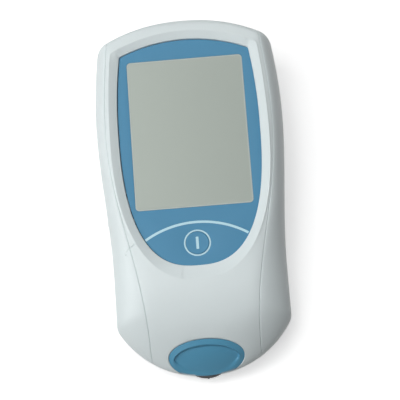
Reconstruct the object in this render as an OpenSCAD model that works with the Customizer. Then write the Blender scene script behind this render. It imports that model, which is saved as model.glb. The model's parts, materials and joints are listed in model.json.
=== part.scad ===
// Blood coagulation meter: a hand-held analyser that lies on its back.
// Millimetres. +Y points to the infrared end, -Y to the strip end, +Z out of the display side.
// The origin is on the resting surface, under the middle of the case.

/* [Case outline] */
// Distance from the middle to the top end
top_y = 92.5; // [88:0.5:98]
// Distance from the middle to the nose
nose_y = 91.7; // [88:0.1:96]
// Width over the head
body_w = 96.8; // [94:0.2:102]
// Width over the hips
hip_w = 88; // [85:0.5:92]
// Corner radius at the hips
hip_r = 7; // [5:0.5:10]
// Distance from the middle to the hip corners
hip_y = 64.2; // [61:0.2:67]
// Corner radius at the shoulders
shoulder_r = 6.5; // [4:0.5:9]
// Distance from the middle to the shoulder corners
shoulder_y = 76.5; // [73:0.5:79]
// Narrowing of each side from its widest place to the shoulder
shoulder_taper = 2.5; // [1:0.1:4]
// Distance from the middle down to the waist
waist_y = 39; // [30:1:50]
// Distance from the middle up to the widest place
wide_y = 41; // [30:1:50]

/* [Case section] */
// Height over the ridge at the head
body_h = 43; // [42:0.5:48]
// Wall of both covers
wall = 2.2; // [1.6:0.1:2.6]
// Slope of the display towards the user, in degrees
tilt = 4; // [3:0.25:5]
// Height of the widest line at the nose
nose_mid_z = 10; // [9:0.5:12]
// Height of the widest line at the hips
hip_mid_z = 13; // [11:0.5:15]
// Height of the widest line at the head
head_mid_z = 20; // [17:0.5:22]
// Height of the widest line at the top end
end_mid_z = 23; // [20:0.5:25]
// How far the top rounds over at the nose
nose_roll = 26; // [20:0.5:27]
// How far the top rounds over at the hips
hip_roll = 22; // [14:0.5:26]
// How far the top rounds over along the head
head_roll = 8.6; // [7:0.1:9]
// How far the top rounds over at the top end
end_roll = 8.3; // [7:0.1:9]
// How far the underside is drawn in from the widest line
tuck = 8; // [5:0.5:9]
// Roundness of the section: 2 is an ellipse, more is squarer
section_power = 2.3; // [2:0.1:2.8]
// How fast the front falls away below the display
front_fall = 0.0085; // [0.006:0.0005:0.010]
// Crown across the front between the hips
crown = 3; // [1:0.25:4]

/* [Parting line] */
// Half width between the side seams at the nose
seam_nose = 27; // [24:0.5:29]
// Half width between the side seams at the head
seam_head = 42; // [41:0.25:43]
// Where the seams start to spread, below the middle
seam_low_y = 78; // [68:1:82]
// Where the seams are fully spread, above the middle
seam_high_y = 29; // [20:1:36]
// Height of the parting plane at the middle of the case
split_z = 15.4; // [14.5:0.1:16.5]
// Gap between the two covers
seam_gap = 0.2; // [0.1:0.05:0.4]

/* [Display] */
// Width of the display window
lcd_w = 59.5; // [54:0.5:61]
// Height of the display window
lcd_h = 79.1; // [74:0.1:80]
// Corner radius of the display window
lcd_r = 2.4; // [1:0.1:4]
// Distance from the middle of the case to the middle of the display
lcd_y = 28.6; // [27.5:0.1:29.5]
// Drop from the ridge to the panel
bezel_rise = 2; // [1.5:0.1:2.5]
// Half width of the panel
panel_hw = 36; // [34.5:0.25:36.5]
// Half width of the panel at its top corners
panel_corner_x = 33.2; // [32:0.2:34]
// Height of the panel's top corners above the display's middle
panel_corner_y = 42.8; // [42:0.2:44]
// Height of the panel's top above the display's middle
panel_top = 50.6; // [48:0.2:51.4]
// Depth of the panel's bottom below the display's middle
panel_bottom = 69.9; // [68.5:0.1:71]
// Roundness of the panel's bottom
panel_power = 2.63; // [2.3:0.01:3]
// Half width over the ridge
ridge_hw = 40.3; // [39.7:0.1:40.7]
// Half width of the ridge at its top corners
ridge_corner_x = 37.7; // [36.5:0.1:38]
// Height of the ridge's top corners above the display's middle
ridge_corner_y = 44.6; // [44:0.1:45.4]
// Height of the ridge's top above the display's middle
ridge_top = 54; // [53:0.2:55]
// Depth of the ridge's bottom below the display's middle
ridge_bottom = 77.1; // [76:0.1:79]
// Roundness of the ridge's bottom
ridge_power = 2.35; // [2.2:0.01:2.5]
// Thickness of the panel
panel_t = 1.6; // [1.2:0.1:1.6]
// Width of the flange that holds the panel under the bezel
flange_w = 1.5; // [1:0.1:2]
// Thickness of that flange
flange_t = 1; // [0.6:0.1:1]
// Gap round the panel and round the glass
panel_gap = 0.25; // [0.15:0.05:0.4]
// Thickness of the gasket between the panel and the display cell
gasket_t = 0.3; // [0.2:0.05:0.5]
// Margin of the display cell outside its window
cell_margin = 2.6; // [2.2:0.1:2.9]
// Thickness of the display cell
cell_t = 2; // [1.4:0.1:2.2]
// Thickness of the light guide
guide_t = 2; // [1.4:0.1:2.2]
// Wall and floor of the display frame
frame_wall = 1.2; // [0.8:0.1:1.3]
// Radius of the display frame's legs
leg_r = 1.6; // [1:0.1:2]

/* [Power button] */
// Distance of the button below the display's middle
button_drop = 58.1; // [57:0.1:59]
// Radius of the button's cap
button_r = 5.85; // [5:0.05:6.4]
// How far the cap stands above the panel
button_proud = 0.15; // [0:0.05:0.4]
// Travel of the button
button_travel = 0.8; // [0.5:0.1:0.9]
// Radius of the button's stem
button_stem_r = 2; // [1.5:0.1:2.5]
// Radius of the switch plunger
plunger_r = 1.6; // [1.2:0.1:1.9]
// Side of the square switch body
switch_w = 6; // [5.5:0.5:7]
// Height of the switch body
switch_h = 3.5; // [3:0.1:3.8]
// Running clearance of plungers, stems and buttons
run_gap = 0.08; // [0.04:0.01:0.1]

/* [Boards] */
// Depth of the main board's top under the panel surface
board_drop = 9.5; // [9.5:0.1:10]
// Thickness of the boards
board_t = 1.6; // [1:0.1:1.6]
// Half width of the main board
board_hw = 31.5; // [30:0.5:32]
// Distance of the board's screws from the middle line
board_post_x = 20; // [16:0.5:22]
// Radius of the posts that carry the board
pad_r = 2.2; // [2:0.1:2.4]
// Radius of the buzzer
buzzer_r = 6; // [4:0.5:7]
// Height of the buzzer
buzzer_h = 5; // [3:0.5:6]

/* [Strip guide] */
// Half width of the blue cover over the strip guide
cover_hw = 19; // [17:0.2:21]
// Length of that cover's front half
cover_front_l = 9; // [8.5:0.1:9.6]
// Length of its back half
cover_back_l = 7.3; // [6:0.1:9]
// Distance from the nose to the widest line of that cover
cover_back = 8.2; // [7.8:0.1:8.8]
// Thickness of that cover
cover_t = 2.4; // [2:0.1:2.6]
// Depth of the cover under the case surface
cover_set = 0.2; // [0.1:0.05:0.4]
// Width of the cover's rim at the sides
cover_rim = 2.7; // [2.2:0.1:4.2]
// Step forward from the cover's widest line to that of its dish
dish_step = 1.1; // [0:0.1:2.6]
// Length of the dish's back half
dish_back_l = 5.4; // [4:0.1:6]
// Length of the dish's front half
dish_front_l = 8; // [6:0.1:8.4]
// Depth of the dish inside the rim
cover_dish = 1; // [0.6:0.1:1.2]
// Gap round the cover
cover_gap = 0.3; // [0.2:0.05:0.4]
// Reach of the cover's visor past the nose
visor_proud = 0.5; // [0.2:0.1:0.6]
// Height of the visor
visor_h = 1.6; // [1:0.1:2]
// Width of the black strip guide
guide_w = 17; // [15:0.5:19]
// Length of the strip guide behind the nose wall
guide_l = 18.5; // [17:0.5:20]
// Distance from the nose to the guide's body
guide_back = 4.8; // [4.6:0.1:6]
// Half the height of the guide's body
guide_half_h = 2.6; // [2.2:0.1:2.8]
// How far the guide's tongue stands out of the nose
tongue_proud = 0.9; // [0.7:0.1:1.2]
// Half width of that tongue
tongue_hw = 6.2; // [5.2:0.1:7]
// Half the height of the tongue
tongue_half_h = 1.1; // [0.9:0.05:1.15]
// Height of the strip above the resting surface
strip_z = 7.8; // [7.4:0.1:7.8]
// Width of the test strip's slot
slot_w = 8.4; // [7:0.2:10]
// Height of the test strip's slot
slot_h = 1; // [0.8:0.1:1.4]
// Length of the heater under the strip
heater_l = 11.5; // [9:0.5:12]
// Width of the measuring board
small_board_w = 28; // [24:1:30]
// Length of the measuring board
small_board_l = 31; // [29:0.5:33]
// Thickness of the measuring board
small_board_t = 1.2; // [0.8:0.1:1.2]

/* [Batteries] */
// Diameter of a cell
cell_d = 14.5; // [13.5:0.1:14.5]
// Length of a cell over its button
cell_l = 50.5; // [49.5:0.1:50.5]
// Spacing of the cells
cell_pitch = 14.8; // [14.7:0.1:15]
// Distance from the middle of the case to the middle of the cells
cell_y = 38; // [36:0.5:38.5]
// Space for the contacts at each end of the cells
contact_room = 2.6; // [2.2:0.1:3]
// Thickness of the battery door's outer plate
door_t = 1.2; // [1:0.1:1.4]
// Overlap of the door on its ledge
door_lap = 2; // [1.5:0.1:2.5]
// Gap round the door
door_gap = 0.3; // [0.2:0.05:0.5]
// Wall of the battery well
well_wall = 1.4; // [1.2:0.1:1.6]

/* [Interfaces] */
// Half width of the infrared window
ir_hw = 8; // [6:0.5:10]
// Height of the infrared window
ir_h = 6; // [4.5:0.5:7]
// Height of the infrared window's middle
ir_z = 32.5; // [31.5:0.5:33.5]
// Depth of the infrared window under the outline
ir_set = 1.5; // [1.2:0.1:1.8]
// Thickness of the infrared window
ir_t = 2.4; // [1.8:0.1:2.6]
// Distance of the power socket from the middle
jack_x = 27; // [26.8:0.1:28]
// Radius of the power socket's bore
jack_r = 2.8; // [2.6:0.05:2.9]
// Radius of the power socket's centre pin
jack_pin_r = 1; // [0.6:0.05:1.1]
// Width of the power socket's body
jack_w = 9; // [8:0.5:10]
// Height of the power socket's body
jack_h = 6.6; // [6.4:0.1:7]
// Length of the power socket's body
jack_l = 11.5; // [10:0.5:13]
// Width of the code chip
chip_w = 14; // [12:0.5:15]
// Length of the code chip
chip_l = 20; // [17:0.5:21]
// Thickness of the code chip
chip_t = 2.2; // [1.6:0.1:2.6]
// Distance of the code chip below the display's middle
chip_drop = 36; // [35:0.5:37]
// Depth of the finger scoop round the code chip
scoop_d = 1.2; // [0.8:0.1:1.4]
// Radius of that scoop
scoop_r = 12; // [9:0.5:14]
// Radius of the charging terminals
terminal_r = 2; // [1.5:0.1:2.4]
// Thickness of the charging terminals
terminal_t = 1.2; // [0.8:0.1:1.6]
// Spacing of the charging terminals
terminal_pitch = 8; // [7:0.5:9]
// Radius of the reset button
reset_r = 2.4; // [2:0.1:3]
// Radius of the reset button's stem
reset_stem_r = 1.2; // [1:0.1:1.6]
// Travel of the reset button
reset_travel = 0.6; // [0.4:0.1:0.8]
// Depth of the reset button under the back
reset_set = 0.5; // [0.3:0.1:0.8]
// Distance of the reset button below the display's middle
reset_drop = 50; // [49:0.5:52]

/* [Fasteners and feet] */
// Distance of the upper case screws from the side
post_side = 9; // [8.8:0.1:9.4]
// Distance of the upper case screws below the shoulders
post_end = 2.5; // [1.5:0.5:3]
// Distance of the lower case screws from the side of the hips
hip_post_side = 21; // [20:0.5:23]
// Distance of the lower case screws above the hips
hip_post_up = 8.2; // [7.8:0.2:12]
// Radius of the lower half of the case's posts
post_r = 3.4; // [3.2:0.1:3.6]
// Radius of the upper half of the case's posts
cap_post_r = 3; // [2.4:0.1:3.2]
// Distance of the screw heads below the parting plane
screw_step = 3; // [2:0.5:4]
// Depth of the case screws in the top cover
screw_bite = 7; // [5:0.5:8]
// Depth of the board screws in the top cover
board_bite = 5; // [3:0.5:6]
// Shank radius of the screws
screw_r = 1.1; // [1:0.05:1.25]
// Head radius of the screws
head_r = 2.2; // [2:0.05:2.3]
// Head height of the screws
head_h = 1.6; // [1.2:0.1:1.8]
// Distance of the upper feet from the side
foot_side = 18.6; // [17.6:0.2:24]
// Distance of the upper feet below the shoulders
foot_end = 3.3; // [2:0.1:4]
// Distance of the lower feet from the side of the hips
hip_foot_side = 17; // [16:0.5:22]
// Distance of the lower feet below the hips
hip_foot_down = 3.8; // [2:0.2:5]
// Radius of the rubber feet
foot_r = 4.2; // [3.5:0.1:4.5]
// How far the feet stand out of the back
foot_h = 0.8; // [0.5:0.1:1.2]
// Depth of the pockets that hold the feet
foot_set = 0.6; // [0.4:0.1:1]

/* [Hidden] */
$fn = 40;
CASE = [0.87, 0.9, 0.91];
BLUE = [0.37, 0.58, 0.7];
BLACK = [0.12, 0.12, 0.13];
METAL = [0.78, 0.76, 0.7];
BOARD = [0.12, 0.36, 0.24];
// Number of points on each stretch of half the outline
NOSE_N = 10;
HIP_N = 4;
SIDE_N = 14;
SHOULDER_N = 4;
TOP_N = 8;
BIG = 120;

// A smooth step from 0 at lo to 1 at hi
function ease(y, lo, hi) = let (t = min(max((y - lo) / (hi - lo), 0), 1)) t * t * (3 - 2 * t);
function mix(a, b, k) = a + (b - a) * k;
// Points on an arc, each with its outward direction; the last point is left to the next run
function arc_run(c, r, a0, a1, n) =
    [for (i = [0 : n - 1]) let (a = mix(a0, a1, i / n)) [c.x + r * cos(a), c.y + r * sin(a), cos(a), sin(a)]];
function mirrored(half) =
    concat(half, [for (i = [len(half) - 2 : -1 : 1]) let (p = half[i]) [-p.x, p.y, -p[2], p[3]]]);

// Case outline: arcs at both ends, joined by corners to sides that follow side_x
function side_x(y) = hip_w / 2 + (body_w - hip_w) / 2 * ease(y, -waist_y, wide_y)
    - shoulder_taper * pow(max(y - wide_y, 0) / (shoulder_y - wide_y), 2);
function side_slope(y) = (side_x(y + 0.05) - side_x(y - 0.05)) / 0.1;
hip_c = [hip_w / 2 - hip_r, -hip_y];
nose_in = nose_y - hip_r;
nose_cy = (hip_c * hip_c - nose_in * nose_in) / (2 * (nose_in - hip_y));
nose_rad = nose_cy + nose_y;
hip_a = atan2(hip_c.y - nose_cy, hip_c.x);
shoulder_a = atan(2 * shoulder_taper / (shoulder_y - wide_y));
shoulder_c = [side_x(shoulder_y), shoulder_y] - shoulder_r * [cos(shoulder_a), sin(shoulder_a)];
top_in = top_y - shoulder_r;
top_cy = (shoulder_c * shoulder_c - top_in * top_in) / (2 * (shoulder_c.y - top_in));
top_rad = top_y - top_cy;
top_a = atan2(shoulder_c.y - top_cy, shoulder_c.x);
outline = mirrored(concat(
    arc_run([0, nose_cy], nose_rad, -90, hip_a, NOSE_N),
    arc_run(hip_c, hip_r, hip_a, 0, HIP_N),
    [for (i = [0 : SIDE_N - 1])
        let (y = mix(-hip_y, shoulder_y, i / SIDE_N), s = side_slope(y), k = sqrt(1 + s * s))
        [side_x(y), y, 1 / k, -s / k]],
    arc_run(shoulder_c, shoulder_r, shoulder_a, top_a, SHOULDER_N),
    arc_run([0, top_cy], top_rad, top_a, 90, TOP_N),
    [[0, top_y, 0, 1]]));

// Heights of the case: the plane of the ridge, which falls away and crowns below the display
ridge_y = lcd_y + ridge_top * cos(tilt);
front_y = ridge_bottom * cos(tilt) - lcd_y;
function plane_z(y) = body_h - tan(tilt) * (ridge_y - y);
function top_z(x, y) = plane_z(y) - front_fall * pow(max(-front_y - y, 0), 2)
    - crown * (1 - ease(y, -75, -45)) * pow(2 * x / hip_w, 2);
function mid_z(y) = nose_mid_z + (hip_mid_z - nose_mid_z) * ease(y, -nose_y, -hip_y)
    + (head_mid_z - hip_mid_z) * ease(y, -50, 30) + (end_mid_z - head_mid_z) * ease(y, 60, top_y);
function roll_w(y) = nose_roll + (hip_roll - nose_roll) * ease(y, -nose_y, -hip_y)
    + (head_roll - hip_roll) * ease(y, -55, -5) + (end_roll - head_roll) * ease(y, 60, top_y);
// The surface is drawn from the outline towards a line along the middle
spine_mid = 2;
spine_reach = 66;
function spine(y) = [0, spine_mid + spine_reach * sin(90 * (2 * y - top_y + nose_y) / (top_y + nose_y))];
function inward(p, d, inset) = let (q = [p.x, p.y] - inset * [p[2], p[3]], s = spine(p.y))
    q + (s - q) * (d / norm(s - q));
function curl(a) = 1 - pow(cos(a), 2 / section_power);
function lift(a) = pow(sin(a), 2 / section_power);
function low_ring(inset, a) = [for (p = outline)
    let (q = inward(p, (tuck - inset) * curl(a), inset), z = mid_z(p.y))
    [q.x, q.y, z - (z - foot_h - inset) * lift(a)]];
function roll_ring(inset, a) = [for (p = outline)
    let (q = inward(p, (roll_w(p.y) - inset) * curl(a), inset), z = mid_z(p.y))
    [q.x, q.y, z + (top_z(q.x, q.y) - inset - z) * lift(a)]];
function inner_ring(inset, f) = [for (p = outline)
    let (e = inward(p, roll_w(p.y) - inset, inset), q = e + (spine(p.y) - e) * f)
    [q.x, q.y, top_z(q.x, q.y) - inset]];
// A closed skin of the case, drawn in by inset on every side
module skin(inset = 0) {
    rings = concat([for (a = [90, 60, 36, 16]) low_ring(inset, a)],
        [for (a = [0, 12, 26, 42, 58, 74, 90]) roll_ring(inset, a)],
        [for (f = [0.3, 0.55, 0.78]) inner_ring(inset, f)]);
    n = len(outline);
    last = len(rings) - 1;
    polyhedron(points = [for (r = rings) for (p = r) p],
        faces = concat(
            [[for (i = [0 : n - 1]) i]],
            [for (k = [0 : last - 1]) for (i = [0 : n - 1]) let (j = (i + 1) % n)
                each [[k * n + i, (k + 1) * n + j, k * n + j], [k * n + i, (k + 1) * n + i, (k + 1) * n + j]]],
            [[last * n, last * n + n - 1, last * n + 1]],
            [for (i = [1 : n / 2 - 2])
                [last * n + i, last * n + n - i, last * n + n - i - 1, last * n + i + 1]],
            [[last * n + n / 2 - 1, last * n + n / 2 + 1, last * n + n / 2]]),
        convexity = 8);
}

// The space of the top cover: between the side seams and above the parting plane
function seam_x(y) = seam_nose + (seam_head - seam_nose) * ease(y, -seam_low_y, seam_high_y)
    - 1.2 * pow(max(y - wide_y, 0) / (shoulder_y - wide_y), 2);
function split(y) = split_z + tan(tilt) * y;
module lid_zone(grow) {
    ys = [for (i = [0 : 30]) mix(-nose_y - 5, top_y + 5, i / 30)];
    intersection() {
        linear_extrude(body_h + 5)
            polygon(concat([for (y = ys) [seam_x(y) + grow, y]],
                [for (i = [len(ys) - 1 : -1 : 0]) [-seam_x(ys[i]) - grow, ys[i]]]));
        rotate([90, 0, 90]) linear_extrude(BIG, center = true)
            polygon([[-BIG, split(-BIG) - grow], [BIG, split(BIG) - grow], [BIG, BIG], [-BIG, BIG]]);
    }
}

// Everything behind the display is placed in its own sloping frame: z = 0 on the panel
display_z = plane_z(lcd_y) - bezel_rise / cos(tilt);
module on_display() translate([0, lcd_y, display_z]) rotate([tilt, 0, 0]) children();
function display_to_case(v, w) = [lcd_y + v * cos(tilt) - w * sin(tilt), display_z + v * sin(tilt) + w * cos(tilt)];
panel_side_y = 5;
function window_outline(hw, y0, cx, cy, top, bottom, power) =
    let (r = (cx * cx + (top - cy) * (top - cy)) / (2 * (top - cy)), a = asin(cx / r))
    mirrored(concat(
        [for (i = [0 : 13]) let (t = 90 * i / 14)
            [hw * pow(sin(t), 2 / power), y0 - (bottom + y0) * pow(cos(t), 2 / power), 0, 0]],
        [for (i = [0 : 5]) let (y = mix(y0, cy, i / 6))
            [hw - (hw - cx) * pow((y - y0) / (cy - y0), 2), y, 0, 0]],
        [for (i = [0 : 8]) let (t = a * (1 - i / 8)) [r * sin(t), top - r + r * cos(t), 0, 0]]));
function flat(ps) = [for (p = ps) [p.x, p.y]];
function panel_outline(grow) = flat(window_outline(panel_hw + grow, panel_side_y, panel_corner_x + grow,
    panel_corner_y + grow, panel_top + grow, panel_bottom + grow, panel_power));
function ridge_outline(grow) = flat(window_outline(ridge_hw + grow, 0, ridge_corner_x + grow,
    ridge_corner_y + grow, ridge_top + grow, ridge_bottom + grow, ridge_power));
// The sloping inside of the bezel, carried on past the ridge so that it cuts clean through
module bezel_dish() {
    inner = panel_outline(0);
    outer = ridge_outline(0);
    n = len(inner);
    polyhedron(points = concat([for (p = inner) [p.x, p.y, 0]],
            [for (i = [0 : n - 1]) let (p = mix(inner[i], outer[i], 2)) [p.x, p.y, 2 * bezel_rise]]),
        faces = concat([[for (i = [0 : n - 1]) i]], [[for (i = [n - 1 : -1 : 0]) n + i]],
            [for (i = [0 : n - 1]) let (j = (i + 1) % n) each [[i, n + i, n + j], [i, n + j, j]]]));
}
module rounded(w, h, r) {
    for (x = [-1, 1]) for (y = [-1, 1])
        translate([x * (w / 2 - r), y * (h / 2 - r)]) circle(r);
    square([w - 2 * r, h], center = true);
    square([w, h - 2 * r], center = true);
}
// A flat ribbon along a path of points
function ribbon(path, t) =
    let (n = len(path), d = [for (i = [0 : n - 1])
        let (a = path[max(i - 1, 0)], b = path[min(i + 1, n - 1)], u = (b - a) / norm(b - a)) [-u.y, u.x] * t / 2])
    concat([for (i = [0 : n - 1]) path[i] + d[i]], [for (i = [n - 1 : -1 : 0]) path[i] - d[i]]);

// Levels under the panel surface
fit = 0.1;
gasket_z = -panel_t - gasket_t;
cell_z = gasket_z - cell_t;
guide_z = cell_z - guide_t;
frame_z = guide_z - fit - frame_wall;
cell_w = lcd_w + 2 * cell_margin;
cell_h = lcd_h + 2 * cell_margin + 1;
frame_w = cell_w + 2 * fit + 2 * frame_wall;
frame_h = cell_h + 2 * fit + 2 * frame_wall;
leg_x = frame_w / 2 - 5;
leg_y = frame_h / 2 - 3;
board_z = -board_drop - board_t;
switch_z = -board_drop + switch_h;
stem_z = switch_z + 1;
plunger_z = switch_z - button_travel - 0.6;
button_flange_t = 0.9;
button_flange_z = -panel_t - 0.05;
button_flange_r = button_r + 1.3;

// Board posts clear the panel's flange; the board reaches a little past them
function panel_high(x) = let (h = panel_top - panel_corner_y,
    r = (panel_corner_x * panel_corner_x + h * h) / (2 * h) + flange_w)
    panel_top + flange_w - r + sqrt(r * r - x * x);
function panel_low(x) = panel_side_y - (panel_bottom + panel_side_y + flange_w)
    * pow(1 - pow(x / (panel_hw + flange_w), panel_power), 1 / panel_power);
board_posts = [[board_post_x, panel_high(board_post_x) + pad_r + 0.4],
    [board_post_x, panel_low(board_post_x) - pad_r - 0.4]];
board_top = board_posts[0].y + pad_r + 0.3;
board_low = board_posts[1].y - pad_r - 0.6;
board_corner = [9.5, 6];

// Places on the case
case_posts = [[side_x(shoulder_y) - post_side, shoulder_y - post_end],
    [hip_w / 2 - hip_post_side, -hip_y + hip_post_up]];
feet = [[side_x(shoulder_y) - foot_side, shoulder_y - foot_end],
    [hip_w / 2 - hip_foot_side, -hip_y - hip_foot_down]];
pilot_r = screw_r + 0.05;
base_z = foot_h;
floor_z = base_z + wall;
root_z = base_z + wall / 2;

// Battery well and door
well_w = 4 * cell_pitch + 0.8;
well_l = cell_l + 2 * contact_room;
door_w = well_w + 2 * door_lap;
door_l = well_l + 2 * door_lap;
ledge_z = base_z + door_t;
door_top = floor_z + 0.2;
cell_mid_z = door_top + 0.3 + cell_d / 2;
well_top = cell_mid_z + cell_d / 2 + 0.3;
nub_r = 2.6;
nub_l = 1.2;
grip_w = 16;
grip_pitch = 1.6;

// Strip module at the nose
cover_y = -nose_y + cover_back;
cover_low = split(-nose_y) - seam_gap / 2;
tongue_y = -nose_y - tongue_proud;
tongue_r = 13.6;
guide_y = -nose_y + guide_back;
guide_low = strip_z - guide_half_h;
guide_high = strip_z + guide_half_h;
strip_low = strip_z - slot_h / 2;
heater_t = 0.7;
heater_y = guide_y + 4;
small_board_y = guide_y + 3.4;
small_board_z = guide_low - small_board_t;
small_board_top = guide_low;
contacts_l = 8;
terminal_y = small_board_y + small_board_l - 4.5;
rest_x = 11;
rest_w = 3;

// Small parts behind the display
reset_y = display_to_case(-reset_drop, 0).x;
reset_switch_h = 3;
reset_top = display_to_case(-reset_drop, board_z).y - reset_switch_h;
chip_mid = board_z - 6;
chip_room = 0.2;
socket_wall = 1.6;
socket_low = chip_mid - chip_t / 2 - socket_wall;
chip_y = display_to_case(-chip_drop, chip_mid).x;
chip_out = side_x(chip_y) - 0.2;
socket_out = side_x(chip_y) - wall - 2;
end_wall_y = top_cy + sqrt(top_rad * top_rad - pow(jack_x + jack_w / 2, 2)) - wall - 1.2;
jack_end = (end_wall_y - lcd_y) / cos(tilt);
jack_z = board_z - jack_h / 2;
flex_w = 22;
buzzer_at = [16, -36];
// Chips under the main board, clear of the battery well: corner, size and height
chip_row = (cell_y - well_l / 2 - well_wall - lcd_y) / cos(tilt) - 1.5;
chips = [[-8, chip_row - 14, 14, 14, 1.5], [-22, chip_row - 7, 10, 7, 1.2], [10, chip_row - 6.5, 12, 6.5, 1.4]];

module both_sides(places) for (p = places) for (s = [-1, 1]) translate([s * p.x, p.y, 0]) children();
// Two half ellipses that meet on their widest line at y, drawn up into a prism
module egg_prism(a, front, back, y) translate([0, y, 0]) linear_extrude(BIG)
    polygon([for (i = [0 : 47]) [a * cos(7.5 * i), (i < 24 ? back : front) * sin(7.5 * i)]]);
// Space of the strip guide cover, down to the parting plane
module strip_zone(gap) intersection() {
    egg_prism(cover_hw - gap, cover_front_l - gap, cover_back_l - gap, cover_y);
    translate([-BIG / 2, -BIG - 50, cover_low + gap]) cube([BIG, BIG, BIG]);
}
// A tongue with a round front, centred on the nose
module tongue(reach, hw, low, high) intersection() {
    translate([-hw, -nose_y - reach - 1, low]) cube([2 * hw, guide_back + reach + 1, high - low]);
    translate([0, -nose_y - reach + tongue_r, low]) cylinder(r = tongue_r, h = high - low, $fn = 96);
}

module top_cover() color(CASE) difference() {
    intersection() {
        lid_zone(-seam_gap / 2);
        skin(0);
    }
    difference() {
        skin(wall);
        on_display() translate([0, 0, -panel_t]) linear_extrude(panel_t + bezel_rise / 4)
            polygon(ridge_outline(flange_w));
        on_display() both_sides(board_posts) translate([0, 0, -board_drop]) cylinder(r = pad_r, h = board_drop);
        both_sides(case_posts) cylinder(r = cap_post_r, h = BIG);
    }
    on_display() {
        bezel_dish();
        translate([0, 0, -panel_t - 1]) linear_extrude(panel_t + 2) polygon(panel_outline(panel_gap));
        translate([0, 0, -panel_t - flange_t - fit]) linear_extrude(flange_t + fit)
            polygon(panel_outline(flange_w + fit));
        both_sides(board_posts) translate([0, 0, board_z]) cylinder(r = pilot_r, h = board_t + board_bite + 1);
        translate([jack_x, jack_end - 1, jack_z]) rotate([-90, 0, 0]) cylinder(r = jack_r + 0.4, h = 20);
    }
    for (p = case_posts) both_sides([p]) cylinder(r = pilot_r, h = split(p.y) + screw_bite + 1);
    strip_zone(0);
    translate([-ir_hw - panel_gap, top_y - 12, ir_z - ir_h / 2 - panel_gap])
        cube([2 * (ir_hw + panel_gap), 20, ir_h + 2 * panel_gap]);
}

module bottom_cover() color(CASE) difference() {
    union() {
        difference() {
            skin(0);
            skin(wall);
            lid_zone(seam_gap / 2);
        }
        translate([-well_w / 2 - well_wall, cell_y - well_l / 2 - well_wall, root_z])
            cube([well_w + 2 * well_wall, well_l + 2 * well_wall, well_top + well_wall - root_z]);
        for (p = case_posts) both_sides([p]) translate([0, 0, root_z])
            cylinder(r = post_r, h = split(p.y) - seam_gap / 2 - root_z);
        both_sides([[rest_x, small_board_y + 2]]) translate([-rest_w / 2, 0, root_z])
            cube([rest_w, small_board_l - 4, small_board_z - root_z]);
        translate([0, reset_y, root_z]) cylinder(r = reset_r + 1.6, h = 8);
    }
    translate([-well_w / 2, cell_y - well_l / 2, 0]) cube([well_w, well_l, well_top]);
    translate([-door_w / 2 - door_gap, cell_y - door_l / 2 - door_gap, 0])
        cube([door_w + 2 * door_gap, door_l + 2 * door_gap, ledge_z + fit]);
    strip_zone(0);
    both_sides(case_posts) cylinder(r = screw_r + 0.3, h = BIG);
    for (p = case_posts) both_sides([p]) cylinder(r = head_r + 0.4, h = split(p.y) - screw_step);
    both_sides(feet) cylinder(r = foot_r + fit, h = base_z + foot_set);
    for (i = [-1 : 1]) translate([i * terminal_pitch, terminal_y, 0])
        cylinder(r = terminal_r + 0.2, h = floor_z + 0.5);
    translate([0, reset_y, 0]) cylinder(r = reset_r + run_gap, h = 20);
    translate([-tongue_hw - cover_gap, guide_y - BIG, strip_z - tongue_half_h - fit])
        cube([2 * (tongue_hw + cover_gap), BIG, 10]);
    on_display() {
        translate([-BIG, -chip_drop - chip_w / 2 - chip_room, chip_mid - chip_t / 2 - chip_room])
            cube([BIG - socket_out + 1, chip_w + 2 * chip_room, chip_t + 2 * chip_room]);
        translate([-side_x(chip_y) - scoop_r + scoop_d, -chip_drop, chip_mid]) rotate([90, 0, 0])
            cylinder(r = scoop_r, h = chip_w + 8, center = true);
    }
    for (i = [-1 : 1]) translate([buzzer_at.x + 3 * i, display_to_case(buzzer_at.y, 0).x, 0])
        cylinder(r = 0.7, h = floor_z + 1);
}

module display_panel() color(BLUE) on_display() difference() {
    union() {
        translate([0, 0, -panel_t]) linear_extrude(panel_t) polygon(panel_outline(0));
        translate([0, 0, -panel_t - flange_t]) linear_extrude(flange_t) polygon(panel_outline(flange_w));
    }
    translate([0, 0, -BIG / 2]) linear_extrude(BIG) rounded(lcd_w, lcd_h, lcd_r);
    translate([0, -button_drop, -BIG / 2]) cylinder(r = button_r + run_gap, h = BIG);
    translate([0, 0, -BIG - panel_t]) linear_extrude(BIG) square([frame_w + 1, frame_h + 1], center = true);
    translate([0, -button_drop, -BIG - panel_t]) cylinder(r = button_flange_r + 1, h = BIG);
}

module touch_screen() color([0.67, 0.71, 0.68]) on_display()
    translate([0, 0, gasket_z + 0.05]) linear_extrude(-gasket_z - 0.05 - fit)
        rounded(lcd_w - 2 * panel_gap, lcd_h - 2 * panel_gap, lcd_r - panel_gap);

module display_gasket() color(BLACK) on_display() translate([0, 0, gasket_z]) linear_extrude(gasket_t) difference() {
    square([cell_w, cell_h], center = true);
    square([lcd_w + 1, lcd_h + 1], center = true);
}

module lcd_cell() color([0.6, 0.64, 0.6]) on_display()
    translate([-cell_w / 2, -cell_h / 2, cell_z]) cube([cell_w, cell_h, cell_t]);

module light_guide() color([0.9, 0.93, 0.95]) on_display()
    translate([-cell_w / 2, -cell_h / 2, guide_z]) cube([cell_w, cell_h, guide_t]);

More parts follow.
